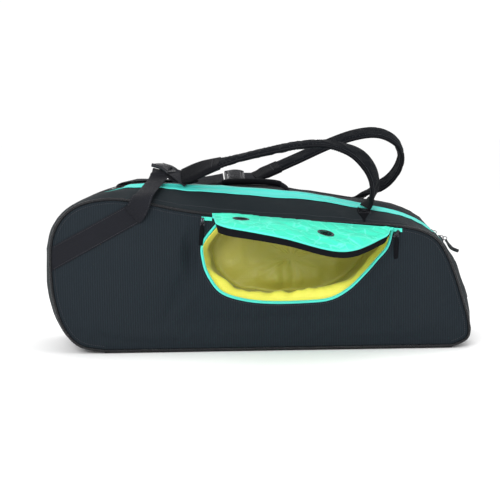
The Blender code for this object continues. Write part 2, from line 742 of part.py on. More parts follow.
# Webbing that ties each strap to the bag's left end --------------------------------------------
PANEL_WEB_Y = EDGE_Y + GAP + WEB_THICKNESS / 2
FRONT_PANEL_WEB = [Vector((-0.3605, -PANEL_WEB_Y, 0.1810)), Vector((-0.2270, -PANEL_WEB_Y, 0.2520))]
BACK_PANEL_WEB = [Vector((-0.3560, PANEL_WEB_Y, 0.1700)), Vector((-0.2760, PANEL_WEB_Y, 0.2500))]
FRONT_RISER = [
    Vector((-0.2215, -0.1318, 0.2570)), Vector((-0.2155, -0.1332, 0.2680)),
    Vector((-0.2105, -0.1330, 0.2795)), Vector((-0.2060, -0.1240, 0.2870)),
    Vector((-0.2010, -0.1080, 0.2935)), Vector((-0.1960, -0.0910, 0.3020)),
    Vector((-0.1915, -0.0760, 0.3090)), Vector((-0.1890, -0.0670, 0.3120)),
]
FOLD_SIDE = Vector((0.61, 0.0, -0.79))
LEVEL_SIDE = Vector((0.95, -0.28, 0.10))
LEVEL_SHARE = 0.45       # share of the front riser over which it untwists
TWIST_START = 0.30       # share of the back riser at which it starts to twist
TWIST_SPAN = 0.40
BACK_RISER = [
    Vector((-0.2640, 0.1320, 0.2480)), Vector((-0.2640, 0.1335, 0.2760)), Vector((-0.2620, 0.1280, 0.2870)),
    Vector((-0.2590, 0.1100, 0.2935)), Vector((-0.2520, 0.0880, 0.3045)), Vector((-0.2380, 0.0700, 0.3110)),
    Vector((-0.2100, 0.0590, 0.3125)), Vector((-0.1500, 0.0560, 0.3110)), Vector((-0.1000, 0.0560, 0.3090)),
    Vector((-0.0780, 0.0565, 0.3100)),
]


def make_webbing():
    """Webbing sewn across each end panel, then folded up over the crown towards its lock."""
    for name, path, holder in (("front_diagonal_webbing", FRONT_PANEL_WEB, front),
                               ("back_diagonal_webbing", BACK_PANEL_WEB, back)):
        run = path[1] - path[0]
        side = Vector((-run.z, 0.0, run.x))
        band(name, path, [WEB_WIDTH] * 2, [side] * 2, WEB_THICKNESS, WEBBING, holder)
    count = 16
    path = [spline(FRONT_RISER, t) for t in steps(0.0, len(FRONT_RISER) - 1.0, count)]
    sides = [FOLD_SIDE.lerp(LEVEL_SIDE, min(1.0, share / LEVEL_SHARE)) for share in steps(0.0, 1.0, count)]
    band("front_lock_webbing", path, [WEB_WIDTH] * (count + 1), sides, WEB_THICKNESS, WEBBING, front)
    count = 27
    path = [spline(BACK_RISER, t) for t in steps(0.0, len(BACK_RISER) - 1.0, count)]
    sides = []
    for share in steps(0.0, 1.0, count):
        turn = math.pi / 2 * min(1.0, max(0.0, (share - TWIST_START) / TWIST_SPAN))
        sides.append(Vector((math.cos(turn), math.sin(turn), 0.0)))
    band("back_lock_webbing", path, [WEB_WIDTH] * (count + 1), sides, WEB_THICKNESS, WEBBING, back)


make_webbing()

# Shoulder straps ------------------------------------------------------------------------------
STRAP_WIDTH = 0.050
STRAP_THICKNESS = 0.011
NEAR_PATH = [
    Vector((0.1900, -0.1000, 0.2575)),
    Vector((0.1990, -0.1000, 0.2680)), Vector((0.2060, -0.1000, 0.2880)),
    Vector((0.2040, -0.1000, 0.3100)), Vector((0.1945, -0.1000, 0.3310)), Vector((0.1780, -0.1010, 0.3490)),
    Vector((0.1540, -0.1020, 0.3625)), Vector((0.1180, -0.1020, 0.3715)), Vector((0.0750, -0.1010, 0.3700)),
    Vector((0.0380, -0.0990, 0.3640)), Vector((-0.0020, -0.0960, 0.3560)), Vector((-0.0480, -0.0900, 0.3450)),
    Vector((-0.0930, -0.0820, 0.3335)), Vector((-0.1200, -0.0760, 0.3250)), Vector((-0.1380, -0.0700, 0.3190)),
]
FAR_PATH = [
    Vector((0.1900, 0.0990, 0.2590)), Vector((0.2060, 0.0950, 0.2700)), Vector((0.2280, 0.0890, 0.2830)),
    Vector((0.2490, 0.0810, 0.2990)), Vector((0.2640, 0.0740, 0.3230)), Vector((0.2670, 0.0710, 0.3480)),
    Vector((0.2540, 0.0700, 0.3700)), Vector((0.2230, 0.0700, 0.3840)), Vector((0.1830, 0.0700, 0.3810)),
    Vector((0.1350, 0.0700, 0.3660)), Vector((0.0780, 0.0700, 0.3430)), Vector((0.0230, 0.0660, 0.3220)),
    Vector((0.0050, 0.0630, 0.3175)), Vector((-0.0080, 0.0600, 0.3145)),
]
NEAR_SIDE = Vector((0.0, 0.985, 0.17))
FAR_SIDE = Vector((0.0, 0.94, 0.34))
NEAR_LOCK = Vector((-0.1720, -0.0560, 0.3300))
FAR_LOCK = Vector((-0.0460, 0.0575, 0.3150))
LOCK_LENGTH = 0.036
LOCK_WIDTH = 0.046
LOCK_THICKNESS = 0.006
ANCHOR_DEPTHS = (0.1120, 0.1010, 0.0900)
ANCHOR_T = 14.36         # outline position of both straps' anchors


LOCK_LENGTH_LINES = (-0.5, -0.32, -0.12, 0.12, 0.32, 0.5)
LOCK_WIDTH_LINES = (-0.5, -0.41, 0.41, 0.5)
LOCK_SLOTS = ((1, 1), (3, 1))
PAD_STEPS = 30
ROOT_TAPER = 0.10        # shares of the strap over which it widens from its root and to its tail
TAIL_TAPER = 0.12
ROOT_SHARE = 0.18        # share of the strap over which its root straightens
ROOT_LEAN = 0.47
TAIL_START = 0.006       # how far the tail webbing starts beyond the pad
LOCK_PLAY = 0.0008
ANCHOR_HALF = 0.22


def make_lock(name, centre, along, across, holder):
    """Ladder lock: two webbing slots between three bars, held by two rails."""
    along = along.normalized()
    across = (across - along * across.dot(along)).normalized()
    normal = along.cross(across)
    columns = len(LOCK_WIDTH_LINES)
    cells = [(i, j) for i in range(len(LOCK_LENGTH_LINES) - 1) for j in range(columns - 1)
             if (i, j) not in LOCK_SLOTS]
    points = []
    for level in (-0.5, 0.5):
        for u in LOCK_LENGTH_LINES:
            for v in LOCK_WIDTH_LINES:
                points.append(centre + along * (u * LOCK_LENGTH) + across * (v * LOCK_WIDTH)
                              + normal * (level * LOCK_THICKNESS))
    sheet = len(points) // 2
    faces = []
    for i, j in cells:
        a = i * columns + j
        ring = (a, a + 1, a + columns + 1, a + columns)
        faces.append(ring)
        faces.append(tuple(sheet + k for k in ring))
        neighbours = ((i - 1, j), (i, j + 1), (i + 1, j), (i, j - 1))
        for p, q, neighbour in zip(ring, ring[1:] + ring[:1], neighbours):
            if neighbour not in cells:
                faces.append((p, q, sheet + q, sheet + p))
    add_mesh(name, points, faces, LOCK, holder)


def pad_width(share):
    """Width of a strap's pad at a share of its length."""
    full = min(1.0, share / ROOT_TAPER, (1.0 - share) / TAIL_TAPER)
    return WEB_WIDTH + (STRAP_WIDTH - WEB_WIDTH) * max(0.0, full)


def make_strap(prefix, controls, side, lock_centre, flank, holder):
    """Padded strap standing over the bag from its sewn anchor to its ladder lock."""
    axis_end = controls[-1].lerp(lock_centre, 0.5)
    swing = pivot(prefix + "_strap_pivot", (controls[0] + axis_end) / 2, holder)
    shares = steps(0.0, 1.0, PAD_STEPS)
    path = [spline(controls, share * (len(controls) - 1)) for share in shares]
    widths = [pad_width(share) for share in shares]
    root_side = Vector((0.0, 0.88, -ROOT_LEAN * flank))
    sides = [root_side.lerp(side, min(1.0, share / ROOT_SHARE)) for share in shares]
    band(prefix + "_strap_pad", path, widths, sides, STRAP_THICKNESS, STRAP, swing)
    lead = (lock_centre - controls[-1]).normalized()
    start = controls[-1] + lead * TAIL_START
    stop = lock_centre - lead * (LOCK_LENGTH / 2 + LOCK_PLAY)
    band(prefix + "_strap_tail", [start, start.lerp(stop, 0.5), stop], [WEB_WIDTH] * 3, [side] * 3,
         WEB_THICKNESS, WEBBING, swing)
    tilt = pivot(prefix + "_lock_pivot", stop, swing)
    make_lock(prefix + "_ladder_lock", lock_centre, -lead, side, tilt)
    stations = steps(ANCHOR_T - ANCHOR_HALF, ANCHOR_T + ANCHOR_HALF, 4)
    skin_strip(prefix + "_strap_anchor", stations, side_depths(ANCHOR_DEPTHS, flank), PATCH, WEBBING, holder,
               lift=PATCH + TAPE_GAP)


make_strap("near", NEAR_PATH, NEAR_SIDE, NEAR_LOCK, -1, front)
make_strap("far", FAR_PATH, FAR_SIDE, FAR_LOCK, 1, back)
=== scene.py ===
"""Racket tournament bag: sewn shell, shoe pocket, straps and studio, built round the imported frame."""
import math

import bmesh
import bpy
import numpy as np
from mathutils import Matrix, Vector, noise
from mathutils.geometry import delaunay_2d_cdt


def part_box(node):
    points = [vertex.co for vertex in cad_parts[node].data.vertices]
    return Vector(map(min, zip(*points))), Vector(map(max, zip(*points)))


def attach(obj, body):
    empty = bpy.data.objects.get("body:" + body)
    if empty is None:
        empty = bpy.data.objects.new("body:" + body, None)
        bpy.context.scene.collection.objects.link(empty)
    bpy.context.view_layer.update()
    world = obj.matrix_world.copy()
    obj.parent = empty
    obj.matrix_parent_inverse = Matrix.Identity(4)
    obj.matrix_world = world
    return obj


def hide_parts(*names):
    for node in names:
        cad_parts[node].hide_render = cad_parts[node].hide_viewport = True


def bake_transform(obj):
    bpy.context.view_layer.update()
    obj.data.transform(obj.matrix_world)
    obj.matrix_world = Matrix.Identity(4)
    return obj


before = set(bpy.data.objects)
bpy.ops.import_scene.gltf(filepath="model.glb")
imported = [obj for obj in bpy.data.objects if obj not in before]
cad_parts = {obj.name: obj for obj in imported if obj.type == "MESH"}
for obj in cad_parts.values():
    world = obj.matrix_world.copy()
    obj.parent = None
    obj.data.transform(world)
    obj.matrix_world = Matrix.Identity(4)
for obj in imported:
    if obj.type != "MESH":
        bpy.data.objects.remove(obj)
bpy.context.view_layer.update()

# Overall form, as the frame has it -------------------------------------------------------------
EDGE_Y = 0.1265
CROWN_Y = 0.065
ZIP_Y = 0.074
CROWN_BULGE = 0.62
VALLEY_DROP = 0.014
FABRIC = 0.003
CORD_RADIUS = 0.0028
WEB_WIDTH = 0.038
OUTLINE = np.array([
    (-0.285, 0.0045, -0.285, 0.0000), (-0.330, 0.0150, -0.338, 0.0080),
    (-0.358, 0.0480, -0.370, 0.0440), (-0.3735, 0.098, -0.388, 0.0980),
    (-0.3785, 0.155, -0.3935, 0.155), (-0.3750, 0.207, -0.388, 0.2080),
    (-0.3560, 0.246, -0.365, 0.2500), (-0.3220, 0.270, -0.325, 0.2760),
    (-0.2700, 0.279, -0.267, 0.2960), (-0.2150, 0.273, -0.210, 0.3030),
    (-0.1500, 0.259, -0.145, 0.3015), (-0.0850, 0.249, -0.080, 0.2955),
    (0.0000, 0.2415, 0.005, 0.2900), (0.0850, 0.2350, 0.085, 0.2805),
    (0.1650, 0.2290, 0.160, 0.2645), (0.2350, 0.2240, 0.235, 0.2495),
    (0.2820, 0.2160, 0.283, 0.2310), (0.3150, 0.2000, 0.318, 0.2060),
    (0.3340, 0.1740, 0.339, 0.1770), (0.3500, 0.1350, 0.361, 0.1370),
    (0.3640, 0.0880, 0.3775, 0.089), (0.3745, 0.0460, 0.386, 0.0440),
    (0.3715, 0.0180, 0.383, 0.0140), (0.3450, 0.0045, 0.350, 0.0000),
])
EDGE = OUTLINE[:, :2]
CROWN = OUTLINE[:, 2:]
LAST = len(OUTLINE) - 1.0
ZIP_START = 5.0
ZIP_END = 19.7
MIDDLE_START = 8.6       # between these the top's outer part moves as one with its cover
MIDDLE_END = 16.0
TAPE_INNER = 0.0600
TAPE_OUTER = 0.0880
SIDES = (("front", -1), ("back", 1))
NOTCH_START = 11.25
NOTCH_END = 15.06
MOUTH = [
    (-0.1010, 0.2000), (-0.1020, 0.1650), (-0.0905, 0.1340), (-0.0690, 0.1085), (-0.0280, 0.0948),
    (0.0200, 0.0895), (0.0750, 0.0898), (0.1220, 0.0940), (0.1560, 0.1110), (0.1863, 0.1392),
    (0.2085, 0.1638), (0.2282, 0.1872),
]
FRONT_PANEL_WEB = ((-0.3980, 0.1611), (-0.2270, 0.2520))
BACK_PANEL_WEB = ((-0.3880, 0.1380), (-0.2760, 0.2500))
FLAP_LEFT = np.array((-0.0850, -0.1340, 0.2510))
FLAP_RIGHT = np.array((0.2395, -0.1340, 0.2200))
FLAP_CURL = 1.5
FLAP_LEANS = ((-0.010,), (-0.005,), (0.050,), (0.165,), (0.250,), (0.310,))
FLAP_MARGIN = 0.006


# Curves and surfaces --------------------------------------------------------------------------
def spline(points, t):
    """Catmull-Rom curve through the points; t counts points from 0."""
    points = np.asarray(points, float)
    t = np.asarray(t, float)
    last = len(points) - 1
    i = np.clip(t.astype(int), 0, last - 1)
    f = (t - i)[..., None]
    a = points[np.maximum(i - 1, 0)]
    b = points[i]
    c = points[i + 1]
    d = points[np.minimum(i + 2, last)]
    h = f * f * (3 - 2 * f)
    return b * (1 - h) + c * h + (c - a) * 0.5 * f * (1 - f) ** 2 - (d - b) * 0.5 * f * f * (1 - f)


def curve(points, count):
    """A count of points on the smooth curve through the given ones."""
    return spline(points, np.linspace(0.0, len(points) - 1.0, count))


def unit(v):
    """Vectors made one long."""
    return v / np.maximum(np.linalg.norm(v, axis=-1, keepdims=True), 1e-12)


def upright(p, y):
    """3-D points from (x, z) points and their depth y."""
    return np.stack([p[..., 0], np.broadcast_to(y, p.shape[:-1]), p[..., 1]], -1)


def outward(points, t):
    """Unit normal of the outline in its own plane, away from the bag."""
    t = np.asarray(t, float)
    run = unit(spline(points, np.minimum(t + 0.02, LAST)) - spline(points, np.maximum(t - 0.02, 0.0)))
    return np.stack([-run[..., 1], run[..., 0]], -1)


def skin(t, y, lift=0.0):
    """Points on the bag's outer skin at outline position t and depth y, raised by lift."""
    t, y, lift = np.broadcast_arrays(np.asarray(t, float), np.asarray(y, float), np.asarray(lift, float))
    depth = np.abs(y)
    crown = spline(CROWN, t)
    normal = outward(CROWN, t)
    u = np.clip((EDGE_Y - depth) / (EDGE_Y - CROWN_Y), 0.0, 1.0)[..., None]
    side = spline(EDGE, t)
    upper = side + (crown - side) * (u + CROWN_BULGE * u * (1 - u))
    drop = VALLEY_DROP * np.clip(crown[..., 1] / 0.08, 0.0, 1.0)
    lower = crown - normal * (drop * np.clip(1 - depth / CROWN_Y, 0.0, 1.0) ** 2)[..., None]
    point = np.where((depth > CROWN_Y)[..., None], upper, lower) + normal * lift[..., None]
    return upright(point, y)


def bumps(points, scale, seed):
    """Smooth noise from -1 to 1 at each point, with one scale for each axis."""
    flat = np.asarray(points, float).reshape(-1, 3) * np.asarray(scale, float) + seed
    values = [noise.noise(Vector(p)) for p in flat]
    return np.array(values).reshape(np.shape(points)[:-1])


def ease(x):
    """Smooth step from 0 to 1."""
    x = np.clip(x, 0.0, 1.0)
    return x * x * (3 - 2 * x)


def resample(points, count, closed=False):
    """The polyline's points, spaced evenly."""
    points = np.asarray(points, float)
    if closed:
        points = np.vstack([points, points[:1]])
    lengths = np.concatenate([[0.0], np.cumsum(np.linalg.norm(np.diff(points, axis=0), axis=1))])
    goals = np.linspace(0.0, lengths[-1], count + 1 if closed else count)
    if closed:
        goals = goals[:-1]
    return np.stack([np.interp(goals, lengths, points[:, k]) for k in range(points.shape[1])], -1)


def length_along(points):
    """Distance from the start at each point of a polyline."""
    return np.concatenate([[0.0], np.cumsum(np.linalg.norm(np.diff(points, axis=0), axis=1))])


# Mesh making ----------------------------------------------------------------------------------
def build(name, points, faces, looks, smooth=60.0, uv=None, face_looks=None):
    """Mesh object from points and faces, with outward faces and its looks."""
    mesh = bpy.data.meshes.new(name)
    mesh.from_pydata([tuple(p) for p in points], [], [tuple(f) for f in faces])
    if uv is not None:
        layer = mesh.uv_layers.new(name="UVMap")
        index = np.zeros(len(mesh.loops), int)
        mesh.loops.foreach_get("vertex_index", index)
        layer.data.foreach_set("uv", np.asarray(uv, np.float32)[index].ravel())
    if face_looks is not None:
        mesh.polygons.foreach_set("material_index", np.asarray(face_looks, np.int32))
    made = bmesh.new()
    made.from_mesh(mesh)
    bmesh.ops.recalc_face_normals(made, faces=made.faces)
    if made.calc_volume(signed=True) < 0:
        bmesh.ops.reverse_faces(made, faces=made.faces)
    made.to_mesh(mesh)
    made.free()
    mesh.shade_smooth()
    mesh.set_sharp_from_angle(angle=math.radians(smooth))
    for look in looks if isinstance(looks, (list, tuple)) else [looks]:
        mesh.materials.append(look)
    piece = bpy.data.objects.new(name, mesh)
    bpy.context.scene.collection.objects.link(piece)
    return piece


def grid_faces(rows, columns, start=0, wrap=False):
    """Quads over a grid of points numbered row by row."""
    faces = []
    for i in range(rows - 1):
        for k in range(columns if wrap else columns - 1):
            n = (k + 1) % columns
            a = start + i * columns
            faces.append((a + k, a + n, a + columns + n, a + columns + k))
    return faces


def shell(name, outer, inner, looks, uv=None, smooth=60.0):
    """Closed thin solid between two grids of points of the same shape."""
    rows, columns = outer.shape[:2]
    count = rows * columns
    faces = grid_faces(rows, columns) + grid_faces(rows, columns, count)
    rim = list(range(columns)) + [i * columns + columns - 1 for i in range(1, rows)]
    rim += [(rows - 1) * columns + k for k in range(columns - 2, -1, -1)]
    rim += [i * columns for i in range(rows - 2, 0, -1)]
    for a, b in zip(rim, rim[1:] + rim[:1]):
        faces.append((a, b, count + b, count + a))
    points = np.vstack([outer.reshape(-1, 3), inner.reshape(-1, 3)])
    flat = None if uv is None else np.vstack([uv.reshape(-1, 2), uv.reshape(-1, 2)])
    return build(name, points, faces, looks, smooth, flat)


def rings(name, points, looks, closed=False, smooth=60.0, uv=None):
    """Solid skinned over rings of equal length; open ends are capped."""
    count, size = points.shape[:2]
    faces = grid_faces(count, size, 0, True)
    if closed:
        last = (count - 1) * size
        faces += [(last + k, last + (k + 1) % size, (k + 1) % size, k) for k in range(size)]
    else:
        faces += [tuple(range(size)), tuple(range((count - 1) * size, count * size))]
    flat = None if uv is None else uv.reshape(-1, 2)
    return build(name, points.reshape(-1, 3), faces, looks, smooth, flat)


def directions(path, closed=False):
    """Unit directions along a path."""
    if closed:
        return unit(np.roll(path, -1, 0) - np.roll(path, 1, 0))
    ahead = np.vstack([path[1:], path[-1:]])
    behind = np.vstack([path[:1], path[:-1]])
    return unit(ahead - behind)


def band_frame(path, sides, closed=False):
    """Directions across and out of a band that follows a path."""
    run = directions(path, closed)
    side = unit(sides - run * np.sum(sides * run, axis=1, keepdims=True))
    return side, np.cross(side, run)


def strip_uv(lengths, widths):
    """Texture grid from the distances along and across a strip."""
    return np.stack(np.meshgrid(lengths, widths, indexing="ij"), -1)


def sweep(name, path, sides, profile, looks, widths=None, heights=None, closed=False, smooth=60.0):
    """Profile of (across, out) points carried along a path; sides point across it."""
    path = np.asarray(path, float)
    profile = np.asarray(profile, float)
    side, out = band_frame(path, np.broadcast_to(np.asarray(sides, float), path.shape), closed)
    wide = np.ones(len(path)) if widths is None else np.asarray(widths, float)
    tall = np.ones(len(path)) if heights is None else np.asarray(heights, float)
    across = profile[None, :, 0:1] * wide[:, None, None]
    rise = profile[None, :, 1:2] * tall[:, None, None]
    points = path[:, None, :] + side[:, None, :] * across + out[:, None, :] * rise
    loop = np.vstack([profile, profile[:1]])
    uv = strip_uv(length_along(path), length_along(loop)[:-1])
    return rings(name, points, looks, closed, smooth, uv)


def round_profile(radius, sides):
    """Circle as a profile."""
    turn = np.arange(sides) * 2 * math.pi / sides
    return np.stack([radius * np.cos(turn), radius * np.sin(turn)], -1)


def tube(name, path, radius, sides, looks, hint=(0.0, 1.0, 0.0), closed=False, radii=None):
    """Round bar along a path."""
    scale = None if radii is None else np.asarray(radii) / radius
    return sweep(name, path, hint, round_profile(radius, sides), looks, scale, scale, closed)


def strap_profile(width, thickness, flatness=6):
    """Flat band with rounded edges."""
    half = width / 2
    round_ = thickness / 2
    top = [(x, round_) for x in np.linspace(-half + round_, half - round_, flatness)]
    right = [(half - round_ + round_ * math.cos(a), round_ * math.sin(a))
             for a in np.linspace(math.pi / 2, -math.pi / 2, 5)[1:-1]]
    bottom = [(x, -round_) for x in np.linspace(half - round_, -half + round_, flatness)]
    left = [(-half + round_ + round_ * math.cos(a), round_ * math.sin(a))
            for a in np.linspace(-math.pi / 2, -3 * math.pi / 2, 5)[1:-1]]
    return np.array(top + right + bottom + left)


def join(name, pieces):
    """Several new pieces made into one, keeping their looks."""
    bpy.ops.object.select_all(action="DESELECT")
    for piece in pieces:
        piece.select_set(True)
    bpy.context.view_layer.objects.active = pieces[0]
    bpy.ops.object.join()
    pieces[0].name = name
    pieces[0].data.name = name
    return pieces[0]


def stitch_run(name, path, normals, look, pitch=0.0036, share=0.62, radius=0.00042, lift=0.0002):
    """Sewn line: short raised stitches along a path."""
    path = np.asarray(path, float)
    total = length_along(path)[-1]
    count = max(2, int(total / pitch))
    even = resample(np.hstack([path, np.broadcast_to(normals, path.shape)]), count * 2 + 1)
    spots = even[1::2, :3]
    up = unit(even[1::2, 3:])
    run = unit(even[2::2, :3] - even[:-2:2, :3])
    side = np.cross(run, up)
    half = pitch * share / 2
    shape = ((-1.0, 0.25), (-0.6, 1.0), (0.6, 1.0), (1.0, 0.25))
    points = []
    faces = []
    for centre, n, r, s in zip(spots, up, run, side):
        base = len(points)
        for reach, size in shape:
            for k in range(4):
                turn = math.pi / 2 * k
                points.append(centre + r * (reach * half) + s * (math.cos(turn) * radius * size)
                              + n * (lift + math.sin(turn) * radius * size))
        faces += grid_faces(4, 4, base, True)
        faces += [tuple(range(base, base + 4)), tuple(range(base + 12, base + 16))]
    return build(name, points, faces, look, 80.0)


SETTLE_FRAMES = 18
FIBRE = {"quality": 5, "mass": 0.2, "air_damping": 4.0, "tension_stiffness": 12.0, "compression_stiffness": 12.0,
         "shear_stiffness": 4.0, "bending_stiffness": 0.3, "use_pressure": True}


def settle(piece, hold, give, pressure, cap):
    """Lets sewn padding swell as cloth between its seams; no point moves further than the cap."""
    mesh = piece.data
    count = len(mesh.vertices)
    before = np.empty(count * 3)
    mesh.vertices.foreach_get("co", before)
    seams = piece.vertex_groups.new(name="seams")
    seams.add([int(i) for i in np.flatnonzero(hold > 0.5)], 1.0, "REPLACE")
    cloth = piece.modifiers.new("settle", "CLOTH")
    fibre = cloth.settings
    for key, value in FIBRE.items():
        setattr(fibre, key, value)
    fibre.uniform_pressure_force = pressure
    fibre.shrink_min = -give
    fibre.effector_weights.gravity = 0.0
    fibre.vertex_group_mass = "seams"
    cloth.point_cache.frame_start = 1
    cloth.point_cache.frame_end = SETTLE_FRAMES
    scene = bpy.context.scene
    for step in range(1, SETTLE_FRAMES + 1):
        scene.frame_set(step)
    settled = piece.evaluated_get(bpy.context.evaluated_depsgraph_get())
    after = np.empty(count * 3)
    settled.data.vertices.foreach_get("co", after)
    scene.frame_set(1)
    piece.modifiers.remove(cloth)
    piece.vertex_groups.clear()
    before = before.reshape(-1, 3)
    move = after.reshape(-1, 3) - before
    size = np.linalg.norm(move, axis=1, keepdims=True)
    move = move * np.minimum(1.0, cap / np.maximum(size, 1e-9)) * (1 - hold)[:, None]
    mesh.vertices.foreach_set("co", (before + move).ravel())
    mesh.update()


def place(piece, body, slot, *nodes):
    """Lets a piece ride on a body and hides the frame nodes it stands for; the finish slot is not used."""
    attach(piece, body)
    if nodes:
        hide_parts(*nodes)
    return piece


def bend(piece, cover, start, end, slot, *nodes):
    """Bakes the fabric's placement into its mesh and hides the frame nodes it stands for; the cover and the
    bend's ends are not used.
    """
    if nodes:
        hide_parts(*nodes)
    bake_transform(piece)
    return piece


# Looks ----------------------------------------------------------------------------------------
class Nodes:
    """Small helper that adds nodes to a material."""

    def __init__(self, name, colour, roughness):
        self.look = bpy.data.materials.new(name)
        self.look.use_nodes = True
        self.tree = self.look.node_tree
        self.shader = self.tree.nodes["Principled BSDF"]
        self.shader.inputs["Base Color"].default_value = (*colour, 1.0)
        self.shader.inputs["Roughness"].default_value = roughness
        self.look.diffuse_color = (*colour, 1.0)
        self.place = self.add("ShaderNodeTexCoord")

    def add(self, kind, links=None, **settings):
        """Adds a node, with inputs by name or number and attributes by name."""
        node = self.tree.nodes.new(kind)
        for key, value in settings.items():
            setattr(node, key, value)
        for key, value in (links or {}).items():
            self.feed(node.inputs[key], value)
        return node

    def feed(self, socket, value):
        """Links an input to another node, or sets it to a plain value."""
        if isinstance(value, bpy.types.NodeSocket):
            self.tree.links.new(value, socket)
        else:
            socket.default_value = value

    def math(self, kind, a, b=0.0):
        """Number made from two others."""
        return self.add("ShaderNodeMath", {0: a, 1: b}, operation=kind).outputs[0]

    def wave(self, coords, direction, pitch):
        """Even bands a pitch apart."""
        links = {"Vector": coords, "Scale": math.pi / 10 / pitch, "Distortion": 0.0}
        return self.add("ShaderNodeTexWave", links, bands_direction=direction).outputs["Fac"]

    def noise(self, coords, scale, detail=3.0, roughness=0.55):
        """Cloudy values around one half."""
        links = {"Vector": coords, "Scale": scale, "Detail": detail, "Roughness": roughness}
        return self.add("ShaderNodeTexNoise", links).outputs["Fac"]

    def ramp(self, value, low, high, at_low=0.0, at_high=1.0):
        """Value carried from one range to another."""
        links = {0: value, 1: low, 2: high, 3: at_low, 4: at_high}
        return self.add("ShaderNodeMapRange", links).outputs[0]

    def mix(self, share, a, b, blend="MIX"):
        """Colour between two others."""
        node = self.add("ShaderNodeMix", data_type="RGBA", blend_type=blend)
        for number, value in ((0, share), (6, a), (7, b)):
            self.feed(node.inputs[number], (*value, 1.0) if isinstance(value, tuple) else value)
        return node.outputs[2]

    def worn(self, most):
        """How rubbed the outer edges are, up to the most."""
        edges = self.add("ShaderNodeNewGeometry").outputs["Pointiness"]
        return self.ramp(edges, 0.53, 0.62, 0.0, most)

    def relief(self, height, distance):
        """Bump from a height."""
        links = {"Height": height, "Distance": distance, "Strength": 1.0}
        made = self.add("ShaderNodeBump", links)
        self.tree.links.new(made.outputs[0], self.shader.inputs["Normal"])

    def set(self, name, value):
        """Input of the shader: a link or a plain number."""
        self.feed(self.shader.inputs[name], value)


def tint(colour, factor):
    """Colour made lighter or darker."""
    return tuple(min(1.0, c * factor) for c in colour)


def fabric(name, colour, pitch=0.0011, roughness=0.72, relief=0.0003, contrast=0.35, sheen=0.04,
           rib=0.0, rib_pitch=0.0036, use_uv=False, clouds=0.25, gloss=0.12):
    """Woven cloth: warp and weft threads, an optional rib, and uneven tone."""
    n = Nodes(name, colour, roughness)
    coords = n.place.outputs["UV" if use_uv else "Object"]
    warp = n.wave(coords, "X", pitch)
    weft = n.wave(coords, "Y" if use_uv else "Z", pitch)
    weave = n.math("MULTIPLY", n.math("ADD", warp, weft), 0.5)
    tone = n.noise(n.place.outputs["Object"], 14.0)
    fuzz = n.noise(n.place.outputs["Object"], 900.0, 2.0)
    height = n.math("ADD", weave, n.math("MULTIPLY", fuzz, 0.5))
    shade = n.mix(n.ramp(weave, 0.0, 1.0, contrast, 0.0), colour, tint(colour, 0.45))
    if rib:
        ridge = n.wave(coords, "X", rib_pitch)
        shade = n.mix(n.math("MULTIPLY", ridge, rib), shade, tint(colour, 1.75))
        height = n.math("ADD", height, n.math("MULTIPLY", ridge, 1.2))
    shade = n.mix(n.ramp(tone, 0.35, 0.75, 0.0, clouds), shade, tint(colour, 1.45))
    n.set("Base Color", n.mix(n.worn(0.22), shade, tint(colour, 1.8)))
    n.set("Roughness", n.ramp(tone, 0.3, 0.7, roughness - 0.06, roughness + 0.08))
    n.set("Sheen Weight", sheen)
    n.set("Sheen Roughness", 0.4)
    n.set("Specular IOR Level", gloss)
    n.relief(height, relief)
    return n.look


def smooth_plastic(name, colour, roughness, metallic=0.0, grain=0.00012, gloss=0.5):
    """Moulded or cast surface with fine grain and rubbed edges."""
    n = Nodes(name, colour, roughness)
    coords = n.place.outputs["Object"]
    grit = n.noise(coords, 1500.0, 2.0)
    smear = n.noise(coords, 60.0, 4.0)
    worn = n.worn(0.5)
    shade = n.mix(n.ramp(smear, 0.4, 0.8, 0.0, 0.3), colour, tint(colour, 1.3))
    n.set("Base Color", n.mix(worn, shade, tint(colour, 2.0)))
    n.set("Roughness", n.ramp(smear, 0.3, 0.7, roughness - 0.07, roughness + 0.12))
    n.set("Metallic", metallic)
    n.set("Specular IOR Level", gloss)
    n.relief(grit, grain)
    return n.look


def teal_face(name, colour):
    """Coated teal cloth with a faint angular mosaic and a fine weave."""
    n = Nodes(name, colour, 0.42)
    coords = n.place.outputs["Object"]
    lean = {"Vector": coords, "Rotation": (0.0, 0.0, 0.5), "Scale": (30.0, 48.0, 20.0)}
    mosaic = {"Vector": n.add("ShaderNodeMapping", lean).outputs[0], "Scale": 1.0, "Randomness": 0.8}
    cells = n.add("ShaderNodeTexVoronoi", mosaic)
    edges = n.add("ShaderNodeTexVoronoi", mosaic, feature="DISTANCE_TO_EDGE")
    line = n.ramp(edges.outputs["Distance"], 0.0, 0.06, 1.0, 0.0)
    sort = n.add("ShaderNodeSeparateColor", {"Color": cells.outputs["Color"]}).outputs[0]
    shade = n.mix(n.ramp(sort, 0.0, 1.0, 0.0, 0.5), tint(colour, 0.84), tint(colour, 1.10))
    shade = n.mix(n.math("MULTIPLY", line, 0.5), shade, (0.20, 0.93, 0.74))
    n.set("Base Color", shade)
    weave = n.math("ADD", n.wave(coords, "X", 0.0011), n.wave(coords, "Y", 0.0011))
    n.relief(n.math("ADD", weave, n.math("MULTIPLY", line, -2.0)), 0.00025)
    n.set("Roughness", n.ramp(n.noise(coords, 30.0), 0.3, 0.7, 0.40, 0.55))
    n.set("Specular IOR Level", 0.2)
    return n.look


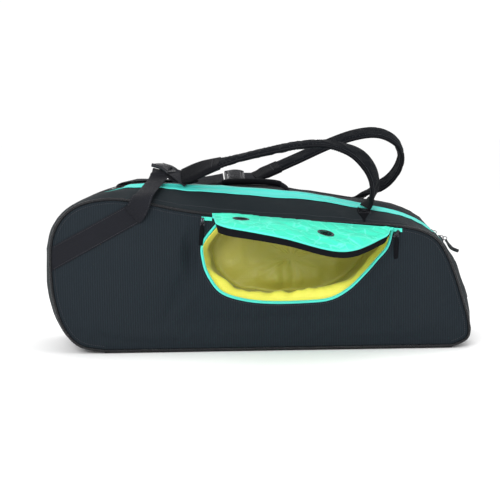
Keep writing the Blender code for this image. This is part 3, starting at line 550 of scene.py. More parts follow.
def coated_tape(name, colour, streak=0.5):
    """Glossy water-repellent zip tape, faintly streaked along its length."""
    n = Nodes(name, colour, 0.38)
    coords = n.place.outputs["UV"]
    long_ = n.add("ShaderNodeMapping", {"Vector": coords, "Scale": (6.0, 260.0, 1.0)})
    bands = n.noise(long_.outputs[0], 1.0, 3.0)
    shade = n.mix(n.ramp(bands, 0.35, 0.65, 0.0, streak), colour, tint(colour, 0.62))
    ribs = n.wave(coords, "X", 0.0013)
    n.set("Base Color", n.mix(n.math("MULTIPLY", ribs, 0.12), shade, tint(colour, 0.5)))
    n.set("Roughness", n.ramp(bands, 0.3, 0.7, 0.30, 0.48))
    n.relief(n.math("ADD", ribs, n.math("MULTIPLY", bands, 0.7)), 0.0002)
    return n.look


def lining_cloth(name, colour):
    """Thin crisp nylon: tiny squares with a soft satin, and painted shade that darkens it deeper in the pocket.
    """
    n = Nodes(name, colour, 0.5)
    coords = n.place.outputs["Object"]
    check = n.math("MAXIMUM", n.wave(coords, "X", 0.0042), n.wave(coords, "Z", 0.0042))
    crease = n.noise(coords, 55.0, 5.0, 0.6)
    shade = n.mix(n.ramp(crease, 0.35, 0.75, 0.0, 0.3), colour, tint(colour, 0.85))
    shade = n.mix(n.ramp(check, 0.95, 1.0, 0.0, 0.15), shade, tint(colour, 0.85))
    # Painted shade: the colour darkens towards the back of the pocket, where shade falls inside it.
    painted_shade_depth = n.add("ShaderNodeSeparateXYZ", {"Vector": coords}).outputs["Y"]
    n.set("Base Color", n.mix(n.ramp(painted_shade_depth, -0.106, -0.070, 0.0, 1.0), shade, tint(colour, 0.45)))
    n.set("Roughness", n.ramp(crease, 0.3, 0.7, 0.42, 0.62))
    n.set("Sheen Weight", 0.1)
    n.relief(n.math("ADD", crease, n.math("MULTIPLY", check, 0.15)), 0.0009)
    return n.look


def webbing_look(name, colour, rib_pitch=0.0019):
    """Flat woven webbing: lengthwise cords crossed by fine picks."""
    n = Nodes(name, colour, 0.62)
    coords = n.place.outputs["UV"]
    cords = n.wave(coords, "Y", rib_pitch)
    picks = n.wave(coords, "X", 0.0013)
    weave = n.math("ADD", cords, n.math("MULTIPLY", picks, 0.7))
    tone = n.noise(n.place.outputs["Object"], 40.0)
    shade = n.mix(n.ramp(weave, 0.2, 1.5, 0.55, 0.0), tint(colour, 1.15), tint(colour, 0.5))
    shade = n.mix(n.ramp(tone, 0.4, 0.8, 0.0, 0.3), shade, tint(colour, 1.5))
    n.set("Base Color", shade)
    n.set("Roughness", n.ramp(tone, 0.3, 0.7, 0.52, 0.68))
    n.set("Sheen Weight", 0.03)
    n.set("Sheen Roughness", 0.35)
    n.set("Specular IOR Level", 0.12)
    n.relief(weave, 0.0004)
    return n.look


SHELL = fabric("panel_cloth", (0.0090, 0.0129, 0.0166), rib=0.7, rib_pitch=0.0042, roughness=0.7,
               sheen=0.025, gloss=0.10)
GUSSET = fabric("gusset_cloth", (0.0068, 0.0112, 0.0142), 0.0012, 0.66, use_uv=True, sheen=0.025, gloss=0.17)
LINED = fabric("inner_cloth", (0.012, 0.013, 0.015), roughness=0.8)
DARK = fabric("dark_cloth", (0.0036, 0.0040, 0.0054), 0.0012, 0.75, sheen=0.01, gloss=0.05)
BINDING = fabric("binding_cloth", (0.0034, 0.0038, 0.0054), 0.0010, 0.6, use_uv=True, sheen=0.008, gloss=0.06)
PIPING = fabric("piping_cloth", (0.0024, 0.0028, 0.0042), 0.0010, 0.24, use_uv=True, sheen=0.0, gloss=0.27)
WEB = webbing_look("webbing_weave", (0.0092, 0.0098, 0.0132))
STRAP = fabric("strap_cloth", (0.0052, 0.0063, 0.0086), 0.0012, 0.7, use_uv=True, sheen=0.008, gloss=0.05)
TEAL = teal_face("flap_cloth", (0.048, 0.78, 0.52))
TEAL_PLAIN = fabric("teal_piping", (0.075, 0.68, 0.52), 0.0010, 0.5, contrast=0.2, use_uv=True)
TEAL_TAPE = coated_tape("teal_zip_tape", (0.060, 0.66, 0.57), 0.45)
DARK_TAPE = coated_tape("dark_zip_tape", (0.008, 0.0085, 0.011), 0.4)
COIL = smooth_plastic("zip_coil", (0.010, 0.010, 0.012), 0.35)
LINING = lining_cloth("yellow_nylon", (0.80, 0.715, 0.094))
TEAL_COIL = smooth_plastic("teal_coil", (0.055, 0.60, 0.50), 0.4)
METAL = smooth_plastic("dark_metal_cast", (0.030, 0.031, 0.036), 0.26, 0.9, 0.00005)
STEEL = smooth_plastic("bright_ring", (0.10, 0.105, 0.11), 0.28, 1.0, 0.00003)
LOCK = smooth_plastic("lock_nylon", (0.0085, 0.0090, 0.0120), 0.25, 0.0, 0.00006, 0.30)
RUBBER = smooth_plastic("pull_rubber", (0.007, 0.007, 0.009), 0.5)
BOARD = smooth_plastic("board", (0.05, 0.05, 0.05), 0.6)
THREAD = smooth_plastic("sewing_thread", (0.010, 0.011, 0.014), 0.6)
THREAD_GREY = smooth_plastic("sewing_thread_grey", (0.022, 0.023, 0.028), 0.6)


# Front and back panels ------------------------------------------------------------------------
PANEL_TUCK = 0.0016      # how far the panel's rim lies inside the piping's centre
PANEL_CROWN = 0.0065     # how far a stuffed panel stands out from its piping
LIP_CROWN = 0.0045


def panel_edge(t):
    """Points of the panel's rim, just under the piping."""
    t = np.asarray(t, float)
    return spline(EDGE, t) - outward(EDGE, t) * PANEL_TUCK


def mouth_line(count):
    """Pocket mouth from its left top end to its right top end."""
    inset = 0.0043
    ends = [spline(EDGE, t) - outward(EDGE, t) * inset for t in (NOTCH_START, NOTCH_END)]
    controls = np.array([ends[0]] + MOUTH + [ends[1]])
    return curve(controls, count)


RIM = np.vstack([panel_edge(np.linspace(0.0, LAST, 150)), panel_edge(np.array([0.0]))])
MOUTH_FINE = mouth_line(120)


def nearest(points, line):
    """Distance from each point to the closest point of a line."""
    points = np.asarray(points, float)
    flat = points.reshape(-1, 2)
    best = np.min(np.linalg.norm(flat[:, None, :] - line[None, :, :], axis=2), axis=1)
    return best.reshape(points.shape[:-1])


def spot(p, x, z, wide, tall, lean=0.0):
    """Soft round hollow or hump of height one."""
    dx = p[..., 0] - x
    dz = p[..., 1] - z
    a = dx * math.cos(lean) + dz * math.sin(lean)
    b = -dx * math.sin(lean) + dz * math.cos(lean)
    return np.exp(-(a / wide) ** 2 - (b / tall) ** 2)


RIM_DENSE = resample(RIM, 500)


def stand_out(p, notch=True):
    """How far the panel stands out from its piping plane at (x, z) points."""
    p = np.asarray(p, float)
    rim = nearest(p, RIM_DENSE)
    out = PANEL_CROWN * (1 - np.exp(-rim / 0.035)) - 0.0010
    points = upright(p, 0.0)
    out = out + 0.0016 * bumps(points, (9.0, 1.0, 5.0), 3.1) * ease(rim / 0.05)
    pucker = bumps(points, (60.0, 1.0, 60.0), 7.7) * np.exp(-rim / 0.018) * ease(rim / 0.006)
    out = out + 0.0011 * pucker
    if notch:
        lip = nearest(p, MOUTH_FINE)
        out = out + LIP_CROWN * np.exp(-(lip / 0.045) ** 2) * ease((0.235 - p[..., 1]) / 0.10)
        out = out - 0.0150 * spot(p, -0.123, 0.174, 0.0130, 0.034, -0.12)
        out = out - 0.0022 * spot(p, 0.020, 0.060, 0.130, 0.016, 0.02)
        out = out + 0.0020 * spot(p, -0.200, 0.120, 0.050, 0.018, 0.9)
        out = out - 0.0020 * spot(p, -0.150, 0.105, 0.060, 0.014, 0.9)
        out = out - 0.0025 * spot(p, 0.245, 0.120, 0.016, 0.050, -0.7)
    else:
        out = out + 0.0020 * spot(p, 0.100, 0.120, 0.120, 0.020, 0.3)
        out = out - 0.0022 * spot(p, -0.060, 0.110, 0.100, 0.016, -0.25)
    return out


def inside(points, loop):
    """Which (x, z) points lie inside a closed loop."""
    x, z = points[:, 0], points[:, 1]
    hit = np.zeros(len(points), bool)
    for (ax, az), (bx, bz) in zip(loop, np.roll(loop, -1, 0)):
        cross = (az > z) != (bz > z)
        hit ^= cross & (x < (bx - ax) * (z - az) / (bz - az + 1e-15) + ax)
    return hit


def plate_mesh(name, loop, spacing, side, notch, look):
    """Padded panel: a triangulated face, its back and its rim."""
    loop = resample(loop, int(length_along(np.vstack([loop, loop[:1]]))[-1] / (spacing * 0.8)), True)
    low = loop.min(0)
    high = loop.max(0)
    gx, gz = np.meshgrid(np.arange(low[0], high[0], spacing), np.arange(low[1], high[1], spacing * 0.87))
    gx[1::2] += spacing / 2
    points = np.stack([gx.ravel(), gz.ravel()], -1)
    points = points[inside(points, loop)]
    points = points[nearest(points, loop) > spacing * 0.55]
    everything = np.vstack([loop, points])
    edges = [(i, (i + 1) % len(loop)) for i in range(len(loop))]
    flat, _, triangles, *_ = delaunay_2d_cdt([Vector(p) for p in everything], edges, [], 1, 1e-7)
    flat = np.array([tuple(v) for v in flat])
    count = len(flat)
    rim = len(loop)
    face_y = EDGE_Y + stand_out(flat, notch)
    front = upright(flat, side * face_y)
    back = upright(flat, side * (face_y - FABRIC))
    faces = [tuple(t) for t in triangles] + [tuple(count + i for i in t) for t in triangles]
    faces += [(i, (i + 1) % rim, count + (i + 1) % rim, count + i) for i in range(rim)]
    uv = np.vstack([flat, flat])
    piece = build(name, np.vstack([front, back]), faces, look, 50.0, uv)
    free = nearest(flat, RIM_DENSE)
    if notch:
        free = np.minimum(free, nearest(flat, MOUTH_FINE))
    webbing = np.array(FRONT_PANEL_WEB if notch else BACK_PANEL_WEB)
    strip = webbing[0] + (webbing[1] - webbing[0]) * np.linspace(0.0, 1.0, 40)[:, None]
    free = np.minimum(free, nearest(flat, strip) - 0.014)
    hold = 1 - ease((free - 0.009) / 0.016)
    settle(piece, np.tile(hold, 2), 0.012, 0.6, 0.0022)
    return piece


def make_panels():
    """Front panel with the pocket's mouth cut from its top, and the plain back panel."""
    ts = np.concatenate([np.linspace(NOTCH_END, LAST, 70), np.linspace(0.0, NOTCH_START, 100)])
    loop = np.vstack([panel_edge(ts), mouth_line(90)[1:-1]])
    piece = plate_mesh("front_panel_cloth", loop, 0.0052, -1, True, SHELL)
    place(piece, "front_cover", "shell_fabric", "front_panel")
    piece = plate_mesh("back_panel_cloth", panel_edge(np.linspace(0.0, LAST, 170)), 0.0065, 1, False, SHELL)
    place(piece, "back_cover", "shell_fabric", "back_panel")


def on_panel(p, lift=0.0, side=-1, notch=True):
    """3-D points on a panel's face at (x, z) points."""
    p = np.asarray(p, float)
    return upright(p, side * (EDGE_Y + stand_out(p, notch) + lift))


make_panels()


# Gussets --------------------------------------------------------------------------------------
SEAM_IN = EDGE_Y - 0.0020    # depth of the seam under the piping
MID_SEAM = 0.0018
BROW_Y = 0.101               # depth of the swelling beside the zip at both ends
SPLIT = 0.0486               # how far out of the zip the ramp handed to each bend reaches
BENDS = (("left", 0.2075, 0.085), ("right", 0.1030, 0.120))   # height of each bend's foot, and its rise
STEP_LENGTH = 0.071          # mean distance between two points of the outline


def gusset_lift(t, y):
    """Soft puckers and long wrinkles of the top and ends."""
    point = skin(t, y)
    s = np.broadcast_to(np.asarray(t, float) * STEP_LENGTH, point.shape[:-1])
    depth = np.abs(point[..., 1])
    field = np.stack([s, depth, np.sign(point[..., 1]) * 3.0], -1)
    seam = np.exp(-(SEAM_IN - depth) / 0.014)
    pucker = bumps(field, (55.0, 12.0, 1.0), 1.3) * seam
    broad = bumps(field, (11.0, 16.0, 1.0), 5.9)
    crease = np.abs(bumps(field, (24.0, 30.0, 1.0), 8.4))
    hold = ease((SEAM_IN - depth) / 0.006) * ease(np.abs(depth - ZIP_Y) / 0.012)
    t = np.broadcast_to(np.asarray(t, float), depth.shape)
    end = 1 - ease((t - 8.0) / 0.6) + ease((t - 16.5) / 0.6)
    crest = np.where(t < 12.0, 0.0026, 0.0046 - 0.0030 * ease((t - 19.5) / 1.5))
    brow = crest * np.exp(-((depth - BROW_Y) / 0.014) ** 2) * ease((SEAM_IN - depth) / 0.010)
    dip = np.where(t < 12.0, 0.0090, 0.0034) * np.exp(-((depth - 0.070) / 0.018) ** 2)
    rear = 0.0078 * np.exp(-((point[..., 1] - 0.046) / 0.034) ** 2)
    rear = rear * ease((t - 13.2) / 1.6) * (1 - ease((t - 17.6) / 1.6))
    seat = ease((t - 0.15) / 1.1) * ease((LAST - 0.15 - t) / 1.1)
    soft = 0.0015 * pucker + 0.0026 * broad - 0.0026 * crease + 0.0006
    return (soft * hold + (brow - dip) * end + rear) * seat


def skin_piece(name, start, end, depths, look, count, columns, thickness=FABRIC, lift=0.0,
               wrinkled=True):
    """Padded strip of the bag's skin between two outline positions and two depths."""
    t = np.linspace(start, end, count)[:, None]
    y = np.linspace(depths[0], depths[1], columns)[None, :]
    t, y = np.broadcast_arrays(t, y)
    rise = lift + (gusset_lift(t, y) if wrinkled else 0.0)
    outer = skin(t, y, rise)
    inner = skin(t, y, rise - thickness)
    return shell(name, outer, inner, look, strip_uv(length_along(outer[:, columns // 2]), y[0]))


def ramp_ends(side, z, rise):
    """Where fabric beside a zip starts to follow the cover and where it follows fully."""
    ramp = np.array((0.0, side / SPLIT, 1 / rise))
    foot = np.array((0.0, side * ZIP_Y, z))
    return tuple(foot), tuple(foot + ramp / np.dot(ramp, ramp))


def make_gussets(prefix, side, tape_look):
    """Top and ends of one compartment: fixed inner parts, an outer middle that opens with its cover, and outer
    parts and ends that stay in place.
    """
    cover = prefix + "_cover"
    outer = (side * SEAM_IN, side * (ZIP_Y + 0.0002))
    inner = (side * (ZIP_Y - 0.0002), side * MID_SEAM)
    piece = skin_piece(prefix + "_top_inner_cloth", ZIP_START, ZIP_END, inner, GUSSET, 230, 16)
    place(piece, "root", "gusset_fabric", prefix + "_inner_gusset")
    for (name, z, rise), start, end in zip(BENDS, (ZIP_START, MIDDLE_END), (MIDDLE_START, ZIP_END)):
        piece = skin_piece(f"{prefix}_top_{name}_cloth", start, end, outer, GUSSET, 60, 14)
        bend(piece, cover, *ramp_ends(side, z, rise), "gusset_fabric")
    piece = skin_piece(prefix + "_top_middle_cloth", MIDDLE_START, MIDDLE_END, outer, GUSSET, 130, 14)
    place(piece, cover, "gusset_fabric", prefix + "_outer_gusset")
    whole = (side * SEAM_IN, side * MID_SEAM)
    for name, start, end in (("left", 0.004, ZIP_START), ("right", ZIP_END, LAST - 0.012)):
        piece = skin_piece(f"{name}_end_cloth_{prefix}", start, end, whole, GUSSET, 70, 34)
        bend(piece, cover, (0.0, side * ZIP_Y, 0.0), (0.0, side * (ZIP_Y + SPLIT), 0.0), "gusset_fabric",
             f"{name}_end_gusset_{prefix}")
    make_zip(prefix, side, cover, tape_look)


def coil(name, path, side_of, look):
    """Ridged row of zip teeth along a path."""
    count = max(8, int(length_along(path)[-1] / 0.00085))
    fine = resample(path, count)
    radii = 0.0009 + 0.00032 * np.cos(np.arange(count) * math.pi)
    return tube(name, fine, 0.0009, 6, look, side_of, radii=radii)


def zip_half(name, start, end, count, near, far, side, look):
    """Half of a zip: tape with a soft lip at the parting and its teeth under it."""
    t = np.linspace(start, end, count)[:, None]
    share = np.linspace(0.0, 1.0, 9)[None, :]
    t, share = np.broadcast_arrays(t, share)
    y = side * (near + (far - near) * share)
    crest = 0.0011 * np.exp(-(share / 0.10) ** 2) - 0.0007 * np.exp(-((share - 0.22) / 0.10) ** 2)
    base = 0.0020 + gusset_lift(t, y)
    outer = skin(t, y, base + crest)
    inner = skin(t, y, base - 0.0012)
    tape = shell(name, outer, inner, look, strip_uv(length_along(outer[:, 4]), y[0]), 70.0)
    path = skin(np.linspace(start, end, count * 2), side * (near + np.sign(far - near) * 0.0011), -0.0002)
    teeth = coil(name + "_coil", path, (0.0, 1.0, 0.0), COIL)
    return join(name, [tape, teeth])


def make_zip(prefix, side, cover, look):
    """Both halves of a compartment's zip."""
    slot = "teal_tape" if prefix == "front" else "dark_fabric"
    start = ZIP_START + 0.02
    end = ZIP_END - 0.02
    piece = zip_half(prefix + "_zip_inner_half", start, end, 220, ZIP_Y - 0.0003, TAPE_INNER, side, look)
    place(piece, "root", slot, prefix + "_zip_inner_tape")
    near = ZIP_Y + 0.0003
    for (name, z, rise), low, high in zip(BENDS, (start, MIDDLE_END), (MIDDLE_START, end)):
        piece = zip_half(f"{prefix}_zip_outer_{name}", low, high, 55, near, TAPE_OUTER, side, look)
        bend(piece, cover, *ramp_ends(side, z, rise), slot)
    piece = zip_half(prefix + "_zip_outer_middle", MIDDLE_START, MIDDLE_END, 120, near, TAPE_OUTER, side,
                     look)
    place(piece, cover, slot, prefix + "_zip_outer_tape")


make_gussets("front", -1, TEAL_TAPE)
make_gussets("back", 1, DARK_TAPE)


# Piping ---------------------------------------------------------------------------------------
def make_piping(prefix, side):
    """Welted cord all round the panel, with its sewn flange."""
    centres = spline(EDGE, np.linspace(0.0, LAST, 330))
    bottom = np.stack([np.linspace(EDGE[-1, 0], EDGE[0, 0], 70)[1:-1], np.full(68, EDGE[0, 1])], -1)
    loop = resample(np.vstack([centres, bottom]), 520, True)
    path = upright(loop, side * (EDGE_Y + 0.0006))
    path[:, 1] += side * 0.0003 * bumps(path, (40.0, 1.0, 40.0), 2.2)
    radii = CORD_RADIUS * (0.97 + 0.05 * bumps(path, (70.0, 1.0, 70.0), 6.3))
    cord = tube(prefix + "_piping_cord", path, CORD_RADIUS, 12, PIPING, (0.0, 1.0, 0.0), True, radii)
    place(cord, prefix + "_cover", "piping_fabric", prefix + "_piping")
    t = np.linspace(0.05, LAST - 0.05, 400)
    inner = spline(EDGE, t) - outward(EDGE, t) * 0.0078
    keep = np.ones(len(t), bool)
    if prefix == "front":
        keep = (t < NOTCH_START - 0.05) | (t > NOTCH_END + 0.05)
    runs = []
    for part in (keep & (t < 13.0), keep & (t >= 13.0)):
        line = on_panel(inner[part], 0.0, side, prefix == "front")
        runs.append(stitch_run(prefix + "_seam", line, (0.0, side, 0.0), THREAD_GREY))
    seam = join(prefix + "_panel_stitches", runs)
    place(seam, prefix + "_cover", "piping_fabric")
    t = np.linspace(8.7, 15.9, 300)
    y = side * (SEAM_IN - 0.0065)
    line = skin(t, y, gusset_lift(t, np.full(len(t), y)) + 0.0001)
    ahead = skin(t, np.full(len(t), y), 0.004) - skin(t, np.full(len(t), y), 0.0)
    seam = stitch_run(prefix + "_top_stitches", line, ahead, THREAD_GREY)
    place(seam, prefix + "_cover", "gusset_fabric")


for panel, facing in SIDES:
    make_piping(panel, facing)


# Shoe pocket ----------------------------------------------------------------------------------
POCKET_DEPTH = 0.088


def make_lining():
    """Loose nylon bag behind the mouth, with a rumpled roll along its lower lip."""
    line = resample(mouth_line(200), 150)
    top = np.linspace(line[-1], line[0], 62)[1:-1]
    loop = np.vstack([line, top])
    loop[:, 1] -= 0.005
    count = len(loop)
    centre = np.array((0.055, 0.170))
    inwards = unit(centre - loop)
    share = np.arange(count) / (len(line) - 1.0)
    low = ease((share - 0.17) / 0.12) * (1 - ease((share - 0.66) / 0.16))
    flank = ease((share - 0.60) / 0.1) * (1 - ease((share - 0.92) / 0.07))
    crest = np.where(np.arange(count) < len(line), 0.0185 * low + 0.0075 * flank + 0.003, 0.0)
    rows = []
    depths = np.concatenate([np.linspace(0.0, 0.035, 14), np.linspace(0.042, POCKET_DEPTH, 12)])
    y_rim = -EDGE_Y - 0.0015
    for depth in depths:
        v = depth / POCKET_DEPTH
        scale = 1.0 - 0.10 * v
        roll = math.sin(min(1.0, depth / 0.016) * math.pi / 2)
        roll = roll * (1 - 0.72 * float(ease((depth - 0.018) / 0.03)))
        p = centre + (loop - centre) * scale
        field = upright(p, depth)
        wobble = bumps(field, (34.0, 26.0, 34.0), 4.4)
        sharp = np.abs(bumps(field, (60.0, 20.0, 60.0), 9.2))
        fold = float(ease(depth / 0.006))
        inset = crest * roll * (1 + 0.25 * wobble - 0.25 * sharp) + (0.0028 * wobble + 0.0028 * sharp) * fold
        p = p + inwards * np.maximum(inset, 0.0002)[:, None]
        rows.append(upright(p, y_rim + depth + 0.002 * wobble * fold))
    lip = nearest(loop, MOUTH_FINE)
    rows[0][:, 1] = -(EDGE_Y + stand_out(loop) - 0.0004)
    rows[0][lip > 0.008, 1] = y_rim
    back = rows[-1]
    middle = back.mean(0)
    spread = np.ones(31) / 31
    around = np.vstack([back[-15:], back, back[:15]])
    soft = np.stack([np.convolve(around[:, i], spread, "valid") for i in range(3)], -1)
    for k in range(1, 15):
        loose = float(ease(k / 3))
        ring = back * (1 - loose) + soft * loose
        ring = ring + (middle - ring) * (k / 15.5)
        flat = np.stack([ring[:, 0], np.zeros(count), ring[:, 2]], -1)
        sag = 0.006 * bumps(flat, (22.0, 1.0, 16.0), 2.9)
        sag = sag - 0.008 * np.abs(bumps(flat, (38.0, 1.0, 12.0), 6.1))
        ring[:, 1] = back[:, 1] + sag * float(ease(k / 5)) - 0.004 * float(ease(k / 8))
        rows.append(ring)
    points = np.array(rows)
    flat = points.reshape(-1, 3)
    faces = grid_faces(len(rows), count, 0, True)
    faces.append(tuple(range((len(rows) - 1) * count, len(rows) * count)))
    piece = build("pocket_lining", flat, faces, LINING, 180.0)
    solid = piece.modifiers.new("cloth", "SOLIDIFY")
    solid.thickness = 0.0009
    solid.offset = 1.0
    apply_modifiers(piece)
    place(piece, "front_cover", "yellow_lining", "shoe_pocket_liner")


def apply_modifiers(piece):
    """Makes the modified mesh the piece's own."""
    graph = bpy.context.evaluated_depsgraph_get()
    made = bpy.data.meshes.new_from_object(piece.evaluated_get(graph))
    old = piece.data
    piece.modifiers.clear()
    piece.data = made
    made.name = piece.name
    bpy.data.meshes.remove(old)


def make_mouth_trim():
    """Teal zip tape sewn round the mouth, with a bead on its edge and teeth inside."""
    line = resample(mouth_line(300)[4:-4], 260)
    run = directions(line)
    out = np.stack([run[:, 1], -run[:, 0]], -1)
    seat = line + out * 0.0015
    path = on_panel(seat, 0.0012)
    sides = upright(out, 0.0)
    tape = sweep("mouth_tape", path, sides, strap_profile(0.0030, 0.0014, 4), TEAL_TAPE)
    bead_path = on_panel(line + out * 0.0004, 0.0020)
    bead = tube("mouth_bead", bead_path, 0.0012, 8, TEAL_PLAIN, (0.0, 1.0, 0.0))
    teeth_path = on_panel(line - out * 0.0012)
    teeth_path[:, 1] = path[:, 1] + 0.0022
    teeth = coil("mouth_coil", teeth_path, (0.0, 1.0, 0.0), TEAL_COIL)
    ends = []
    for x, z, lean in ((-0.0945, 0.2412, -0.08), (0.2470, 0.2155, -0.1)):
        gx, gz = np.meshgrid(np.linspace(-0.0100, 0.0085, 9), np.linspace(-0.0032, 0.0032, 5))
        flat = np.stack([x + gx, z + gz + gx * lean], -1)
        grid_uv = np.stack([gx, gz], -1)
        outer = on_panel(flat, 0.0012)
        inner = on_panel(flat, -0.0002)
        ends.append(shell(f"mouth_end_{x:.2f}", outer, inner, TEAL_PLAIN, grid_uv))
    piece = join("pocket_mouth_trim", [tape, bead, teeth] + ends)
    place(piece, "front_cover", "teal_tape", "pocket_mouth_tape")
    seam = on_panel(line + out * 0.0062, 0.0)
    seam = stitch_run("mouth_stitches", seam, (0.0, -1.0, 0.0), THREAD_GREY)
    place(seam, "front_cover", "teal_tape")


make_lining()
make_mouth_trim()

# Flap -----------------------------------------------------------------------------------------
FLAP_AXIS = unit(FLAP_RIGHT - FLAP_LEFT)
FLAP_LENGTH = float(np.linalg.norm(FLAP_RIGHT - FLAP_LEFT))
FLAP_CENTRE = np.array((FLAP_LENGTH * 0.45, 0.0))
MESH_RADIUS = 0.0109
MESH_PITCH = 0.0019
EYELETS = ((0.052, 0.062), (0.200, 0.070))     # along the hinge, and out from it
VENT_REACH = 0.017           # the padding is pressed flat this far round a vent


def flap_point(along, reach, lift=0.0):
    """Points on the lifted flap: along its hinge, out from it, above its face."""
    along, reach, lift = np.broadcast_arrays(np.asarray(along, float), np.asarray(reach, float),
                                             np.asarray(lift, float))
    share = np.clip(along / FLAP_LENGTH, 0.0, 1.0)
    lean = spline(FLAP_LEANS, share * 5.0)[..., 0]
    angle = lean + FLAP_CURL * reach
    forward = (np.sin(angle) - np.sin(lean)) / FLAP_CURL
    fall = (np.cos(lean) - np.cos(angle)) / FLAP_CURL
    root = FLAP_LEFT + FLAP_AXIS * along[..., None]
    off = np.stack([np.zeros(angle.shape), -forward - np.sin(angle) * lift, -fall + np.cos(angle) * lift], -1)
    return root + off


def flap_edge(count, margin):
    """Free edge of the flap laid flat, as distances along the hinge and out from it."""
    line = mouth_line(161)
    away = upright(line, FLAP_LEFT[1]) - FLAP_LEFT
    along = away @ FLAP_AXIS
    reach = np.linalg.norm(away - along[:, None] * FLAP_AXIS, axis=1)
    flat = np.stack([along, reach], -1)
    shrunk = (flat - unit(flat - FLAP_CENTRE) * margin)[reach > 0.012]
    shrunk[:, 0] = np.clip(shrunk[:, 0], 0.085 * shrunk[:, 1], FLAP_LENGTH)
    edge = np.vstack([[(0.0, 0.003)], shrunk, [(FLAP_LENGTH, 0.0015)]])
    return resample(edge, count)


def make_flap():
    """Padded flap with a bright beaded rim; its rolled root and the dark band under its free edge are added by
    make_flap_pieces.
    """
    columns = 110
    rows = 30
    edge = flap_edge(columns, FLAP_MARGIN)
    j = np.arange(columns) / (columns - 1)
    k = np.arange(rows) / (rows - 1)
    root = np.stack([FLAP_LENGTH * j, np.zeros(columns)], -1)
    flat = root[:, None, :] + (edge - root)[:, None, :] * k[None, :, None]
    reach = flat[..., 1]
    fill = (ease(k / 0.18) * ease((1 - k) / 0.14))[None, :]
    fill = fill * ease(j / 0.06)[:, None] * ease((1 - j) / 0.05)[:, None]
    field = np.stack([flat[..., 0], reach, np.zeros(reach.shape)], -1)
    wave = bumps(field, (13.0, 20.0, 1.0), 3.3)
    dent = np.abs(bumps(field, (30.0, 34.0, 1.0), 1.9))
    swell = fill * (0.0034 + 0.0022 * wave - 0.0028 * dent)
    for along, out in EYELETS:
        near = np.exp(-(((flat[..., 0] - along) ** 2 + (reach - out) ** 2) / VENT_REACH ** 2) ** 2)
        swell = swell * (1 - near) + 0.0004 * near
    top = flap_point(flat[..., 0], reach, swell)
    under = flap_point(flat[..., 0], reach, -0.0028 - 0.3 * swell)
    face = shell("flap_face", top, under, TEAL, flat, 70.0)
    free = np.broadcast_to(fill, reach.shape).copy()
    for along, out in EYELETS:
        free *= ease((np.hypot(flat[..., 0] - along, reach - out) - VENT_REACH) / 0.012)
    settle(face, np.tile(1 - free.ravel(), 2), 0.03, 1.0, 0.0026)
    line = flap_point(edge[1:-1, 0], edge[1:-1, 1], -0.0006)
    bead = tube("flap_bead", resample(line, 240), 0.0019, 8, TEAL_PLAIN, (0.0, 0.3, 1.0))
    return join("flap_padding", [face, bead]), edge


def make_flap_band(edge):
    """Dark zip band that hangs from the flap's free edge and curls back under it."""
    trimmed = edge[2:-2]
    inner = trimmed + unit(np.array((FLAP_LENGTH * 0.45, 0.02)) - trimmed) * 0.0035
    share = np.linspace(0.0, 1.0, len(trimmed))
    hang = 0.0130 + 0.0030 * np.sin(share * math.pi) + 0.0016 * np.sin(share * 9.0)
    profile = ((0.0, -0.0014), (0.10, -0.15), (0.35, -0.60), (0.9, -1.0), (1.6, -0.95))
    away = unit(trimmed - FLAP_CENTRE)
    faces = []
    for inset, lift in ((0.0, -0.0012), (0.0012, -0.0002)):
        rows = []
        for across, down in profile:
            p = trimmed + (inner - trimmed) * across - away * inset
            fall = hang * down if down < -0.01 else np.full(len(trimmed), down)
            rows.append(flap_point(p[:, 0], p[:, 1], fall + lift))
        faces.append(np.array(rows).transpose(1, 0, 2))
    outer, back = faces
    uv = strip_uv(length_along(outer[:, 2]), np.linspace(0.0, 0.014, outer.shape[1]))
    strip = shell("flap_band", outer, back, BINDING, uv, 70.0)
    lower = trimmed + (inner - trimmed) * 1.6
    path = flap_point(lower[:, 0], lower[:, 1], -hang * 0.95 - 0.0014)
    teeth = coil("flap_coil", path, (0.0, 0.0, 1.0), COIL)
    return join("flap_zip_band", [strip, teeth])


def make_eyelet(name, along, reach):
    """Pressed vent ring with a mesh disc in it."""
    def turned(section, count):
        """Points of a section of (radius, height) carried round the vent."""
        turn = np.linspace(0.0, 2 * math.pi, count + 1)[:-1]
        return np.array([[flap_point(along + r * math.cos(a), reach + r * math.sin(a), h) for r, h in section]
                         for a in turn])

    section = ((0.0152, 0.0000), (0.0152, 0.0010), (0.0144, 0.0019), (0.0128, 0.0022), (0.0112, 0.0016),
               (0.0106, 0.0002))
    ring = rings(name + "_ring", turned(section, 48), METAL, True, 70.0)
    wires = []
    for k in range(-5, 6):
        off = k * MESH_PITCH
        half = math.sqrt(MESH_RADIUS ** 2 - off ** 2)
        for swap in (0, 1):
            s = np.linspace(-half, half, 12)
            a = along + (s if swap == 0 else np.full(12, off))
            b = reach + (s if swap else np.full(12, off))
            height = 0.0007 + 0.00022 * np.sin(s / MESH_PITCH * math.pi + k * math.pi + swap * math.pi)
            line = flap_point(a, b, height)
            wires.append(tube(f"{name}_wire_{k}_{swap}", line, 0.0004, 5, DARK, (0.0, 0.0, 1.0)))
    disc = turned(((0.0112, 0.0003), (0.0112, 0.0001)), 32)
    faces = [tuple(range(0, 64, 2)), tuple(range(1, 64, 2))]
    for i in range(0, 64, 2):
        k = (i + 2) % 64
        faces.append((i, k, k + 1, i + 1))
    floor = build(name + "_floor", disc.reshape(-1, 3), faces, RUBBER)
    piece = join(name + "_vent", [ring, floor] + wires)
    place(piece, "shoe_flap_body", "dark_metal", name)


